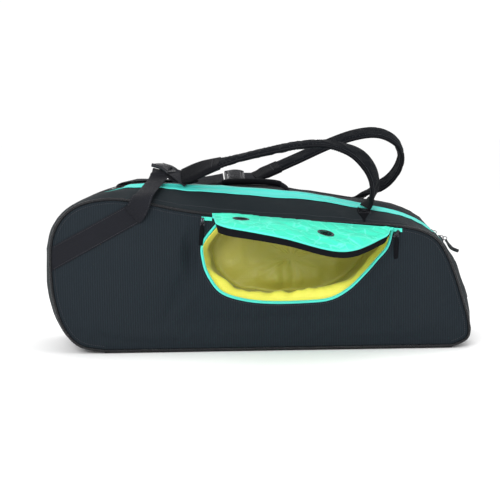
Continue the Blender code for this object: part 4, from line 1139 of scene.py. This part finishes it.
def make_flap_pieces():
    """Everything on the flap's body."""
    face, edge = make_flap()
    place(face, "shoe_flap_body", "teal_fabric", "shoe_flap")
    place(make_flap_band(edge), "shoe_flap_body", "dark_fabric", "flap_edge_tape")
    inset = flap_edge(200, FLAP_MARGIN + 0.0055)[6:-6]
    line = flap_point(inset[:, 0], inset[:, 1], 0.0009)
    seam = stitch_run("flap_stitches", line, (0.0, -0.2, 1.0), TEAL_PLAIN)
    place(seam, "shoe_flap_body", "teal_fabric")
    along = np.linspace(0.0, FLAP_LENGTH, 90)
    hem = []
    for back, up in ((0.0, 0.0006), (0.0032, 0.0), (0.0060, -0.0030), (0.0068, -0.0070)):
        root = FLAP_LEFT + FLAP_AXIS * along[:, None]
        hem.append(root + np.array((0.0, back, up)))
    outer = np.array(hem).transpose(1, 0, 2)
    inner = outer + np.array((0.0, -0.0006, -0.0022))
    uv = strip_uv(along, np.linspace(0.0, 0.010, 4))
    root_hem = shell("flap_root_hem", outer, inner, TEAL_PLAIN, uv, 70.0)
    place(root_hem, "shoe_flap_body", "teal_fabric")
    for name, (a, r) in zip(("flap_eyelet_left", "flap_eyelet_right"), EYELETS):
        make_eyelet(name, a, r)


make_flap_pieces()


# Webbing --------------------------------------------------------------------------------------
FRONT_RISER = [
    (-0.2290, -0.1315, 0.2490), (-0.2215, -0.1365, 0.2570), (-0.2155, -0.1370, 0.2680),
    (-0.2105, -0.1340, 0.2795), (-0.2045, -0.1250, 0.2885), (-0.1980, -0.1080, 0.2965),
    (-0.1915, -0.0910, 0.3045), (-0.1865, -0.0770, 0.3105), (-0.1830, -0.0690, 0.3165),
    (-0.1805, -0.0650, 0.3240), (-0.1785, -0.0585, 0.3290), (-0.1770, -0.0505, 0.3275),
    (-0.1780, -0.0475, 0.3205), (-0.1820, -0.0520, 0.3130),
]
BACK_RISER = [
    (-0.2640, 0.1350, 0.2480), (-0.2640, 0.1365, 0.2760), (-0.2620, 0.1300, 0.2890),
    (-0.2590, 0.1110, 0.2965), (-0.2520, 0.0880, 0.3020), (-0.2380, 0.0700, 0.3045),
    (-0.2100, 0.0590, 0.3055), (-0.1500, 0.0560, 0.3042), (-0.1080, 0.0560, 0.3018),
    (-0.0670, 0.0565, 0.3080),
]
SPARE_END = [
    (-0.1660, -0.0620, 0.3290), (-0.1600, -0.0640, 0.3215), (-0.1500, -0.0640, 0.3165),
    (-0.1360, -0.0650, 0.3135), (-0.1220, -0.0665, 0.3140), (-0.1120, -0.0680, 0.3170),
]
SPARE_SIDE = (0.0, 0.80, 0.60)
WEB_RIBS = 12
SEAM_MARGIN = 0.0022
RIB_HEIGHT = 0.00022
FOLD_SIDE = np.array((0.61, 0.0, -0.79))
LEVEL_SIDE = np.array((0.95, -0.28, 0.10))
LOOP_SIDE = np.array((0.80, -0.56, 0.20))
NEAR_LOCK = np.array((-0.1720, -0.0560, 0.3300))
FAR_LOCK = np.array((-0.0460, 0.0575, 0.3092))


def ribbed(width, thickness, ribs):
    """Webbing section with lengthwise ribs."""
    half = width / 2
    xs = np.linspace(-half, half, ribs * 4 + 1)
    swell = RIB_HEIGHT * np.cos(xs / width * ribs * 2 * math.pi)
    fade = ease((half - np.abs(xs)) / 0.0015)
    top = np.stack([xs, (thickness / 2 + swell) * (0.45 + 0.55 * fade)], -1)
    low = np.stack([xs[::-1], -(thickness / 2 + swell[::-1]) * (0.45 + 0.55 * fade[::-1])], -1)
    return np.vstack([top, low])


def edge_seams(name, path, sides, width, lift, look):
    """Two rows of stitches along a band's edges."""
    side, out = band_frame(path, sides)
    rows = []
    for way in (-1, 1):
        line = path + side * (way * (width / 2 - SEAM_MARGIN)) + out * lift
        rows.append(stitch_run(f"{name}_{way}", line, out, look))
    return join(name, rows)


def panel_webbing(prefix, ends, side, notch):
    """Webbing sewn across the end of a panel, following its swell."""
    a, b = (np.array(p) for p in ends)
    along = np.linspace(0.0, 1.0, 60)[:, None]
    flat = a + (b - a) * along
    run = unit(b - a)
    across = np.array((-run[1], run[0]))
    columns = 25
    offsets = np.linspace(-WEB_WIDTH / 2, WEB_WIDTH / 2, columns)
    grid = flat[:, None, :] + across * offsets[None, :, None]
    rim = panel_edge(np.linspace(1.5, 7.0, 80))
    grid[..., 0] = np.maximum(grid[..., 0], np.interp(grid[..., 1], rim[:, 1], rim[:, 0]) + 0.0006)
    ribs = RIB_HEIGHT * np.cos(offsets / WEB_WIDTH * WEB_RIBS * 2 * math.pi)[None, :]
    outer = on_panel(grid, 0.0018 + ribs, side, notch)
    inner = on_panel(grid, -0.0004, side, notch)
    piece = shell(prefix + "_panel_webbing", outer, inner, WEB, strip_uv(length_along(flat), offsets), 70.0)
    place(piece, prefix + "_cover", "webbing", prefix + "_diagonal_webbing")
    rows = []
    for off in (-WEB_WIDTH / 2 + SEAM_MARGIN, WEB_WIDTH / 2 - SEAM_MARGIN):
        row = flat + across * off
        row = row[row[:, 0] > np.interp(row[:, 1], rim[:, 1], rim[:, 0]) + 0.003]
        line = on_panel(row, 0.0021, side, notch)
        rows.append(stitch_run(f"{prefix}_web_row_{off:.3f}", line, (0.0, side, 0.0), THREAD_GREY))
    seam = join(prefix + "_panel_webbing_stitches", rows)
    place(seam, prefix + "_cover", "webbing")


def make_webbing():
    """Webbing on both end panels and the lengths that rise to the ladder locks."""
    panel_webbing("front", FRONT_PANEL_WEB, -1, True)
    panel_webbing("back", BACK_PANEL_WEB, 1, False)
    section = ribbed(WEB_WIDTH, 0.0020, WEB_RIBS)
    count = 96
    path = curve(FRONT_RISER, count)
    share = np.linspace(0.0, 1.0, count)[:, None]
    sides = FOLD_SIDE + (LEVEL_SIDE - FOLD_SIDE) * np.clip(share / 0.28, 0.0, 1.0)
    sides = sides + (LOOP_SIDE - LEVEL_SIDE) * np.clip((share - 0.6) / 0.25, 0.0, 1.0)
    riser = sweep("front_riser", path, sides, section, WEB)
    seams = edge_seams("front_riser_seams", path[8:], sides[8:], WEB_WIDTH, 0.0011, THREAD_GREY)
    loose = sweep("front_loose_end", curve(SPARE_END, 40), SPARE_SIDE, section, WEB)
    place(join("front_riser_webbing", [riser, seams, loose]), "front_cover", "webbing", "front_lock_webbing")
    path = curve(BACK_RISER, 90)
    share = np.linspace(0.0, 1.0, 90)
    turn = math.pi / 2 * np.clip((share - 0.30) / 0.40, 0.0, 1.0)
    rise = 0.20 * np.cos(turn) + 0.42 * ease((share - 0.72) / 0.2)
    sides = np.stack([np.cos(turn), np.sin(turn), rise], -1)
    riser = sweep("back_riser", path, sides, section, WEB)
    place(riser, "back_cover", "webbing", "back_lock_webbing")


make_webbing()


# Shoulder straps ------------------------------------------------------------------------------
STRAP_WIDTH = 0.050
CUFFS = (("lock", slice(122, 150)), ("root", slice(0, 14)))     # rings that each end's cuff covers
STRAP_THICKNESS = 0.011
NEAR_PATH = [
    (0.1915, -0.1010, 0.2560), (0.2010, -0.1000, 0.2680), (0.2085, -0.1000, 0.2880),
    (0.2070, -0.1000, 0.3100), (0.1975, -0.1000, 0.3310), (0.1800, -0.1010, 0.3500),
    (0.1545, -0.1020, 0.3630), (0.1180, -0.1020, 0.3715), (0.0750, -0.1010, 0.3700),
    (0.0380, -0.0990, 0.3640), (-0.0020, -0.0960, 0.3560), (-0.0480, -0.0900, 0.3450),
    (-0.0930, -0.0820, 0.3325), (-0.1210, -0.0760, 0.3225), (-0.1420, -0.0700, 0.3150),
]
FAR_PATH = [
    (0.1900, 0.0990, 0.2590), (0.2060, 0.0950, 0.2700), (0.2290, 0.0890, 0.2820),
    (0.2530, 0.0810, 0.2985), (0.2700, 0.0740, 0.3230), (0.2745, 0.0710, 0.3490),
    (0.2620, 0.0700, 0.3735), (0.2290, 0.0700, 0.3885), (0.1860, 0.0700, 0.3850),
    (0.1350, 0.0700, 0.3680), (0.0780, 0.0700, 0.3430), (0.0230, 0.0660, 0.3200),
    (0.0050, 0.0630, 0.3130), (-0.0080, 0.0600, 0.3085),
]
NEAR_SIDE = np.array((0.0, 0.985, 0.17))
FAR_SIDE = np.array((0.0, 0.94, 0.34))
ANCHOR_T = 14.36         # outline position of both straps' sewn feet
LOCK_LENGTH = 0.036
LOCK_WIDTH = 0.046


def pad_profile():
    """Section of a padded strap of width one and thickness one: crowned faces and flat bound edges."""
    xs = np.linspace(-0.5, 0.5, 27)
    edge = 0.5 - np.abs(xs)
    body = 0.5 * (1 - np.exp(-(edge / 0.11)))
    groove = 0.15 * np.exp(-((edge - 0.115) / 0.02) ** 2)
    rim = 0.17 * (edge < 0.10)
    height = np.maximum(np.maximum(body * 0.98 - groove, rim), 0.10)
    top = np.stack([xs, height], -1)
    low = np.stack([xs[::-1], -height[::-1]], -1)
    return np.vstack([top, low])


def strap_frames(controls, side, flank, count):
    """Path, widths and side directions of a strap."""
    path = curve(controls, count)
    share = np.linspace(0.0, 1.0, count)
    full = np.minimum(1.0, np.minimum(share / 0.10, (1 - share) / 0.12))
    widths = WEB_WIDTH + (STRAP_WIDTH - WEB_WIDTH) * np.clip(full, 0.0, 1.0)
    root_side = np.array((0.0, 0.88, -0.47 * flank))
    sides = root_side + (side - root_side) * np.clip(share / 0.18, 0.0, 1.0)[:, None]
    if flank < 0:
        window = ease(share / 0.12) * (1 - ease((share - 0.30) / 0.25))
        sides = sides + np.array((0.36, 0.0, 0.22)) * window[:, None]
    roll = np.array((0.0, 0.80, 0.60)) if flank < 0 else side
    sides = sides + (roll - side) * ease((share - 0.76) / 0.18)[:, None]
    return path, share, widths, sides


def make_strap(prefix, controls, side, lock_centre, anchor_t, flank, cover):
    """Padded strap with bound edges, sewn ends, tail webbing, ladder lock and anchor patch."""
    body = prefix + "_strap"
    path, share, widths, sides = strap_frames(controls, side, flank, 150)
    ripple = bumps(path, (26.0, 1.0, 26.0), 4.0 + flank)
    taper = 0.40 + 0.60 * ease(np.minimum(share / 0.10, (1 - share) / 0.14))
    heights = STRAP_THICKNESS * taper * (1 + 0.05 * ripple)
    pad = sweep(prefix + "_pad", path, sides, pad_profile(), STRAP, widths, heights, smooth=70.0)
    inner = ease((0.5 - np.abs(pad_profile()[:, 0]) - 0.135) / 0.10)
    middle = ease(np.minimum(share - 0.10, 0.84 - share) / 0.04)
    settle(pad, 1 - (middle[:, None] * inner[None, :]).ravel(), 0.03, 1.0, 0.0018)
    across, out = band_frame(path, sides)
    parts = []
    for way in (-1, 1):
        line = path + across * (way * (widths / 2 - 0.0012))[:, None]
        edge = strap_profile(0.0064, 0.0042, 4)
        parts.append(sweep(f"{prefix}_bind_{way}", line, across, edge, BINDING, smooth=70.0))
        for face in (-1, 1):
            row = path + across * (way * (widths / 2 - 0.0062))[:, None]
            row = row + out * (face * heights * 0.33)[:, None]
            parts.append(stitch_run(f"{prefix}_row_{way}_{face}", row, out * face, THREAD))
    place(join(prefix + "_strap_binding", parts), body, "strap_fabric")
    place(pad, body, "strap_fabric", prefix + "_strap_pad")
    lead = unit(lock_centre - np.array(controls[-1]))
    start = np.array(controls[-1]) - lead * 0.020
    stop = lock_centre - lead * (LOCK_LENGTH / 2 - 0.007)
    tail_path = start + (stop - start) * np.linspace(0.0, 1.0, 24)[:, None]
    untwist = np.linspace(0.0, 1.0, 24)[:, None]
    tail = sweep(prefix + "_strap_tail_webbing", tail_path, sides[-1] * (1 - untwist) + side * untwist,
                 ribbed(WEB_WIDTH, 0.0022, WEB_RIBS), WEB)
    place(tail, body, "webbing", prefix + "_strap_tail")
    place(strap_cuff(prefix, path, across, out, widths, heights), body, "strap_fabric")
    make_lock(prefix, lock_centre, -lead, side)
    patch = tongue(prefix + "_patch", anchor_t, flank)
    seams = box_stitch(prefix + "_patch_seams", anchor_t, 0.14, flank * 0.0975, 0.0080, 0.0030)
    place(join(prefix + "_anchor_patch", [patch, seams]), cover, "webbing", prefix + "_strap_anchor")


def strap_cuff(prefix, path, across, out, widths, heights):
    """Sewn webbing cuffs that close both ends of a padded strap."""
    parts = []
    for name, part in CUFFS:
        p = path[part]
        w = widths[part] + 0.0004
        h = heights[part]
        faces = []
        for way in (1, -1):
            lines = []
            for s in np.linspace(-0.5, 0.5, 13):
                fade = float(ease((0.5 - abs(s)) / 0.12))
                rise = way * ((h * 0.5 + 0.0005) * (0.35 + 0.65 * fade))
                lines.append(p + across[part] * (s * w)[:, None] + out[part] * rise[:, None])
            faces.append(np.array(lines).transpose(1, 0, 2))
        top, low = faces
        uv = strip_uv(length_along(p), np.linspace(0.0, WEB_WIDTH, 13))
        parts.append(shell(f"{prefix}_{name}_cuff", top, low, BINDING, uv, 50.0))
        up = out[part][0]
        edge = top[3 if name == "lock" else -4, 1:-1] + up * 0.0002
        parts.append(stitch_run(f"{prefix}_{name}_cuff_row", edge, up, THREAD_GREY))
    return join(prefix + "_strap_cuffs", parts)


def tongue(name, t, flank):
    """Sewn foot of a strap: a patch that narrows to a point down the gusset."""
    down = np.linspace(0.0, 1.0, 24)[:, None]
    across = np.linspace(-1.0, 1.0, 13)[None, :]
    down, across = np.broadcast_arrays(down, across)
    half = 0.15 * (1 - 0.86 * ease((down - 0.10) / 0.90))
    place_t = t + across * half - 0.05 * down
    depth = flank * (0.0905 + 0.0330 * down)
    rise = gusset_lift(place_t, depth)
    outer = skin(place_t, depth, rise + 0.0026)
    inner = skin(place_t, depth, rise + 0.0004)
    uv = np.stack([down * 0.04, across * half * 0.08], -1)
    return shell(name, outer, inner, DARK, uv)


def box_stitch(name, t, half_t, y, half_y, lift):
    """Boxed cross of stitches on the skin."""
    corners = [(t - half_t, y - half_y), (t + half_t, y - half_y),
               (t + half_t, y + half_y), (t - half_t, y + half_y)]
    rows = []
    for i, k in ((0, 1), (1, 2), (2, 3), (3, 0), (0, 2), (1, 3)):
        line = np.linspace(corners[i], corners[k], 12)
        base = skin(line[:, 0], line[:, 1], lift + gusset_lift(line[:, 0], line[:, 1]))
        up = skin(line[:, 0], line[:, 1], 0.01) - skin(line[:, 0], line[:, 1], 0.0)
        rows.append(stitch_run(f"{name}_{i}{k}", base, up, THREAD_GREY))
    return join(name, rows)


def make_lock(prefix, centre, along, side):
    """Moulded ladder lock: two rails, three crowned bars and a ribbed thumb tab."""
    along = unit(along)
    across = unit(side - along * np.dot(side, along))
    normal = np.cross(along, across)
    if normal[2] < 0:
        normal = -normal
    half_l = LOCK_LENGTH / 2
    half_w = LOCK_WIDTH / 2
    parts = []
    for way in (-1, 1):
        edge = centre + across * (way * (half_w - 0.0022))
        bow = [(-1.0, 0.0), (-0.6, 0.0012), (0.0, 0.0030), (0.6, 0.0022), (1.0, 0.0)]
        rail = np.array([edge + along * (s * half_l) + normal * h for s, h in bow])
        rail = curve(rail, 17)
        parts.append(sweep(f"{prefix}_rail_{way}", rail, across, strap_profile(0.0048, 0.0066, 3), LOCK))
    bars = (("tail", -0.90, 0.0, 0.0062, 0.0060), ("grip", 0.0, 0.0022, 0.0085, 0.0052),
            ("nose", 0.90, 0.0, 0.0070, 0.0062))
    for name, reach, rise, width, height in bars:
        middle = centre + along * (reach * half_l) + normal * rise
        s = np.linspace(-1.0, 1.0, 15)
        path = middle + across * (s * (half_w - 0.003))[:, None] + normal * (0.0008 * (1 - s ** 2))[:, None]
        parts.append(sweep(f"{prefix}_{name}", path, along, strap_profile(width, height, 4), LOCK))
    for k in range(7):
        s = (k - 3) * 0.0052
        a = centre + across * s - along * (0.55 * half_l) + normal * 0.0042
        b = centre + across * s + along * (0.62 * half_l) + normal * 0.0042
        mid = (a + b) / 2 + normal * 0.0018
        path = curve(np.array([a, mid, b]), 9)
        parts.append(sweep(f"{prefix}_ridge_{k}", path, across, strap_profile(0.0030, 0.0022, 3), LOCK))
    tab = centre + normal * 0.0030
    s = np.linspace(-1.0, 1.0, 13)
    path = tab + along * (s * half_l * 0.72)[:, None] + normal * (0.0010 * (1 - s ** 2))[:, None]
    parts.append(sweep(f"{prefix}_shield", path, across, strap_profile(LOCK_WIDTH - 0.009, 0.0024, 8), LOCK))
    piece = join(prefix + "_lock_moulding", parts)
    place(piece, prefix + "_lock", "lock_plastic", prefix + "_ladder_lock")


make_strap("near", NEAR_PATH, NEAR_SIDE, NEAR_LOCK, ANCHOR_T, -1, "front_cover")
make_strap("far", FAR_PATH, FAR_SIDE, FAR_LOCK, ANCHOR_T, 1, "back_cover")


# Grab handle ----------------------------------------------------------------------------------
def make_handle():
    """Rolled webbing handle with flattened feet and sewn patches."""
    controls = [
        (-0.0840, 0.0, 0.2895), (-0.076, 0.0, 0.2965), (-0.060, 0.0, 0.3010), (-0.015, 0.0, 0.3020),
        (0.030, 0.0, 0.2985), (0.048, 0.0, 0.291), (0.0560, 0.0, 0.2795),
    ]
    path = curve(controls, 110)
    share = np.linspace(0.0, 1.0, 110)
    twist = 1 + 0.05 * bumps(path, (60.0, 1.0, 60.0), 3.0)
    foot = 1 - ease(np.minimum(share, 1 - share) / 0.10)
    radius = 0.0048
    grip = sweep("handle_roll", path, (0.0, 1.0, 0.0), round_profile(radius, 14), WEB,
                 twist * (1 + 1.2 * foot), twist * (1 - 0.45 * foot))
    wrap = path[30:82]
    cover = sweep("handle_wrap", wrap, (0.0, 1.0, 0.0), round_profile(radius + 0.0011, 14), BINDING)
    line = wrap - np.array((0.0, 0.0, radius + 0.0012))
    seam = stitch_run("handle_seam", line, (0.0, 0.0, -1.0), THREAD_GREY)
    place(join("grab_handle_roll", [grip, cover, seam]), "handle", "dark_fabric", "grab_handle")
    for name, t in (("handle_anchor_left", 11.02), ("handle_anchor_right", 12.62)):
        patch = skin_piece(name + "_cloth", t - 0.18, t + 0.18, (-0.0150, 0.0150), WEB, 12, 14,
                           0.0020, 0.0026, False)
        seams = box_stitch(name + "_seams", t, 0.14, 0.0, 0.011, 0.0030)
        place(join(name + "_patch", [patch, seams]), "root", "webbing", name)


make_handle()


# Zip sliders and pulls ------------------------------------------------------------------------
def node_centre(node):
    """Middle of a frame node's box."""
    low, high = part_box(node)
    return (np.array(low) + np.array(high)) / 2


def slider_body(name, nose, along, across, size, look):
    """Cast slider: wedge shaped base, crowned top and a bridge for its pull."""
    along = unit(along)
    across = unit(across - along * np.dot(across, along))
    normal = np.cross(along, across)
    shape = ((-0.50, 0.36, 0.0016), (-0.30, 0.42, 0.0030), (0.0, 0.50, 0.0034), (0.25, 0.62, 0.0034),
             (0.50, 0.50, 0.0018))
    sections = []
    for reach, wide, tall in shape:
        base = nose + along * (reach * size)
        w = wide * size / 2
        profile = ((-w, 0.0), (-w, tall * 0.6), (-w * 0.7, tall), (w * 0.7, tall), (w, tall * 0.6), (w, 0.0))
        sections.append([base + across * a + normal * b for a, b in profile])
    body = rings(name + "_body", np.array(sections), look, False, 40.0)
    arch = [(-0.32, 0.0028), (-0.26, 0.0052), (0.0, 0.0062), (0.22, 0.0054), (0.30, 0.0028)]
    path = np.array([nose + along * (r * size) + normal * h for r, h in arch])
    path = curve(path, 17)
    bridge = sweep(name + "_bridge", path, across, strap_profile(0.0022, 0.0012, 3), look)
    return join(name, [body, bridge]), normal


def ring_loop(name, centre, normal, radius, wire, look, stretch=(1.0, 1.0)):
    """Small wire ring."""
    normal = unit(np.asarray(normal, float))
    a = unit(np.cross(normal, (0.0, 0.0, 1.0)))
    b = np.cross(normal, a)
    turn = np.linspace(0.0, 2 * math.pi, 25)[:-1]
    path = centre + a * (radius * stretch[0] * np.cos(turn))[:, None]
    path = path + b * (radius * stretch[1] * np.sin(turn))[:, None]
    return sweep(name, path, normal, round_profile(wire, 8), look, closed=True)


def ribbed_pull(name, start, end, sag, look):
    """Moulded cord pull with ribs and a bulb at its end."""
    start, end = np.asarray(start, float), np.asarray(end, float)
    middle = (start + end) / 2 + np.array(sag)
    path = curve(np.array([start, middle, end]), 90)
    share = np.linspace(0.0, 1.0, 90)
    ribs = 0.00035 * np.cos(share * 46 * math.pi) * ease((share - 0.2) / 0.1)
    radii = 0.0022 + 0.0011 * ease((share - 0.18) / 0.25) + ribs
    radii = radii * (1 - 0.35 * ease((share - 0.94) / 0.06))
    return tube(name, path, 0.002, 12, look, (0.0, 1.0, 0.0), radii=radii)


def tab_pull(name, start, end, across, width, look):
    """Woven tab pull folded through its ring."""
    start, end = np.asarray(start, float), np.asarray(end, float)
    path = np.linspace(start, end, 26)
    share = np.linspace(0.0, 1.0, 26)
    widths = 0.70 + 0.30 * ease(share / 0.25)
    heights = 1.0 - 0.25 * ease((share - 0.9) / 0.1)
    strip = sweep(name, path, across, strap_profile(width, 0.0026, 5), look, widths, heights)
    up = unit(np.cross(across, end - start))
    rows = stitch_run(name + "_seam", path[4:-2] + up * 0.0014, up, THREAD_GREY, 0.003)
    return join(name, [strip, rows])


SLIDER_T = 17.45


def make_main_sliders():
    """One slider with a curved cord pull for each compartment."""
    for prefix, side in SIDES:
        depth = side * ZIP_Y
        nose = skin(SLIDER_T, depth, 0.0012) + np.array((0.0020, 0.0, 0.0))
        run = unit(skin(SLIDER_T + 0.1, depth) - skin(SLIDER_T - 0.1, depth))
        across = np.array((0.0, 1.0, 0.0))
        body, normal = slider_body(prefix + "_zip_slider_cast", nose, run, across, 0.0145, METAL)
        if normal[2] < 0:
            raise ValueError("slider faces inward")
        place(body, prefix + "_slider", "dark_metal", prefix + "_zip_slider")
        eye = nose + normal * 0.0068 + run * 0.002
        hoop = ring_loop(prefix + "_pull_ring", eye + run * 0.002, (0.0, 1.0, 0.0), 0.0036, 0.0007, STEEL,
                         (1.2, 0.8))
        low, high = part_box(prefix + "_zip_puller")
        end = np.array((high[0] - 0.012, depth, low[2] - 0.004))
        if prefix == "back":
            end = np.array((high[0] - 0.026, depth + 0.008, low[2] - 0.012))
        cord = ribbed_pull(prefix + "_pull_cord", eye + run * 0.005, end, (-0.0015, 0.0, -0.0045), RUBBER)
        pull = join(prefix + "_zip_pull", [cord, hoop])
        place(pull, prefix + "_puller", "piping_fabric", prefix + "_zip_puller")


def make_pocket_sliders():
    """Parked sliders and woven tabs at both ends of the mouth."""
    ends = (("pocket_left", (-0.004, 0.0, -0.042), (0.0, 0.0, -1.0), (1.0, 0.0, 0.0)),
            ("pocket_right", (-0.002, 0.0, -0.046), (-0.64, 0.0, -0.77), (0.77, 0.0, -0.64)))
    for name, reach, slide, across in ends:
        middle = node_centre(name + "_slider")
        flat = np.array((middle[0], middle[2]))
        seat = on_panel(flat[None, :], 0.0020)[0]
        seat[1] = min(seat[1], middle[1] + 0.0015)
        body, _ = slider_body(name + "_slider_cast", seat, np.array(slide), np.array(across), 0.0155, METAL)
        place(body, name + "_carriage", "dark_metal", name + "_slider")
        eye = seat + np.array((0.0, -0.0062, 0.0))
        low = eye + np.array((0.0, 0.0, -0.0024))
        hoop = ring_loop(name + "_ring", low, (0.0, 1.0, 0.0), 0.0036, 0.0008, METAL)
        start = eye + unit(np.array(reach)) * 0.0055
        end = eye + np.array(reach) + np.array((0.0, 0.0018, 0.0))
        tab = tab_pull(name + "_tab", start, end, np.array((1.0, 0.0, 0.0)), 0.0078, BINDING)
        place(join(name + "_pull_tab", [tab, hoop]), name + "_pull", "piping_fabric", name + "_puller")


make_main_sliders()
make_pocket_sliders()


def make_end_tabs():
    """Folded garages sewn over the zips' right ends."""
    for prefix, side in SIDES:
        depths = (side * 0.0860, side * 0.0580)
        tab = skin_piece(prefix + "_garage", ZIP_END - 0.02, ZIP_END + 0.36, depths, BINDING, 16, 14,
                         0.0018, 0.0034, False)
        place(tab, "root", "dark_fabric", prefix + "_zip_end_tab")


make_end_tabs()


# Pieces kept from the frame -------------------------------------------------------------------
for node, look in (("base_panel", LINED), ("divider", LINED), ("front_base_board", BOARD),
                   ("back_base_board", BOARD)):
    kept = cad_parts[node]
    for place_ in kept.material_slots:
        place_.material = look


# Studio ---------------------------------------------------------------------------------------
def area_light(name, location, target, size, power, colour=(1.0, 1.0, 1.0)):
    """Large soft lamp aimed at a point."""
    lamp = bpy.data.lights.new(name, "AREA")
    lamp.shape = "RECTANGLE"
    lamp.size = size[0]
    lamp.size_y = size[1]
    lamp.energy = power
    lamp.color = colour
    holder = bpy.data.objects.new(name, lamp)
    holder.location = location
    holder.rotation_euler = (Vector(target) - Vector(location)).to_track_quat("-Z", "Y").to_euler()
    bpy.context.scene.collection.objects.link(holder)


def make_studio():
    """Pale seamless floor, even white surroundings and large soft lamps."""
    look = bpy.data.materials.new("studio_floor")
    look.use_nodes = True
    shader = look.node_tree.nodes["Principled BSDF"]
    shader.inputs["Base Color"].default_value = (0.97, 0.97, 0.97, 1.0)
    shader.inputs["Roughness"].default_value = 0.9
    shader.inputs["Specular IOR Level"].default_value = 0.1
    reach = 30.0
    mesh = bpy.data.meshes.new("floor")
    corners = [(x * reach, y * reach, -0.0005) for x, y in ((-1, -1), (1, -1), (1, 1), (-1, 1))]
    mesh.from_pydata(corners, [], [(0, 1, 2, 3)])
    mesh.materials.append(look)
    floor = bpy.data.objects.new("floor", mesh)
    bpy.context.scene.collection.objects.link(floor)
    world = bpy.data.worlds.new("surroundings")
    world.use_nodes = True
    world.node_tree.nodes["Background"].inputs[0].default_value = (1.0, 1.0, 1.0, 1.0)
    world.node_tree.nodes["Background"].inputs[1].default_value = 1.04
    bpy.context.scene.world = world
    area_light("key", (-0.7, -2.9, 1.25), (0.0, 0.0, 0.15), (1.2, 0.9), 62.0)
    area_light("fill", (2.2, -1.6, 1.6), (0.0, 0.0, 0.15), (1.5, 1.5), 10.0)
    area_light("top", (0.1, 0.6, 2.6), (0.0, 0.0, 0.2), (2.0, 1.2), 12.0)


def make_camera():
    """Camera low in front of the bag, looking slightly down."""
    pitch = math.radians(5.0)
    roll = math.radians(0.95)
    distance = 2.6
    aim = Vector((-0.0185, -EDGE_Y, 0.1835))
    ahead = Vector((0.0, math.cos(pitch), -math.sin(pitch)))
    up = Vector((0.0, math.sin(pitch), math.cos(pitch)))
    right = Vector((1.0, 0.0, 0.0))
    tilted_right = right * math.cos(roll) - up * math.sin(roll)
    tilted_up = right * math.sin(roll) + up * math.cos(roll)
    turn = Matrix((tilted_right, tilted_up, -ahead)).transposed()
    lens = bpy.data.cameras.new("camera")
    lens.sensor_width = 36.0
    lens.lens = 104.0
    lens.clip_end = 100.0
    camera = bpy.data.objects.new("camera", lens)
    camera.matrix_world = Matrix.Translation(aim - ahead * distance) @ turn.to_4x4()
    bpy.context.scene.collection.objects.link(camera)
    bpy.context.scene.camera = camera


make_studio()
make_camera()
bpy.context.scene.view_settings.view_transform = "Standard"
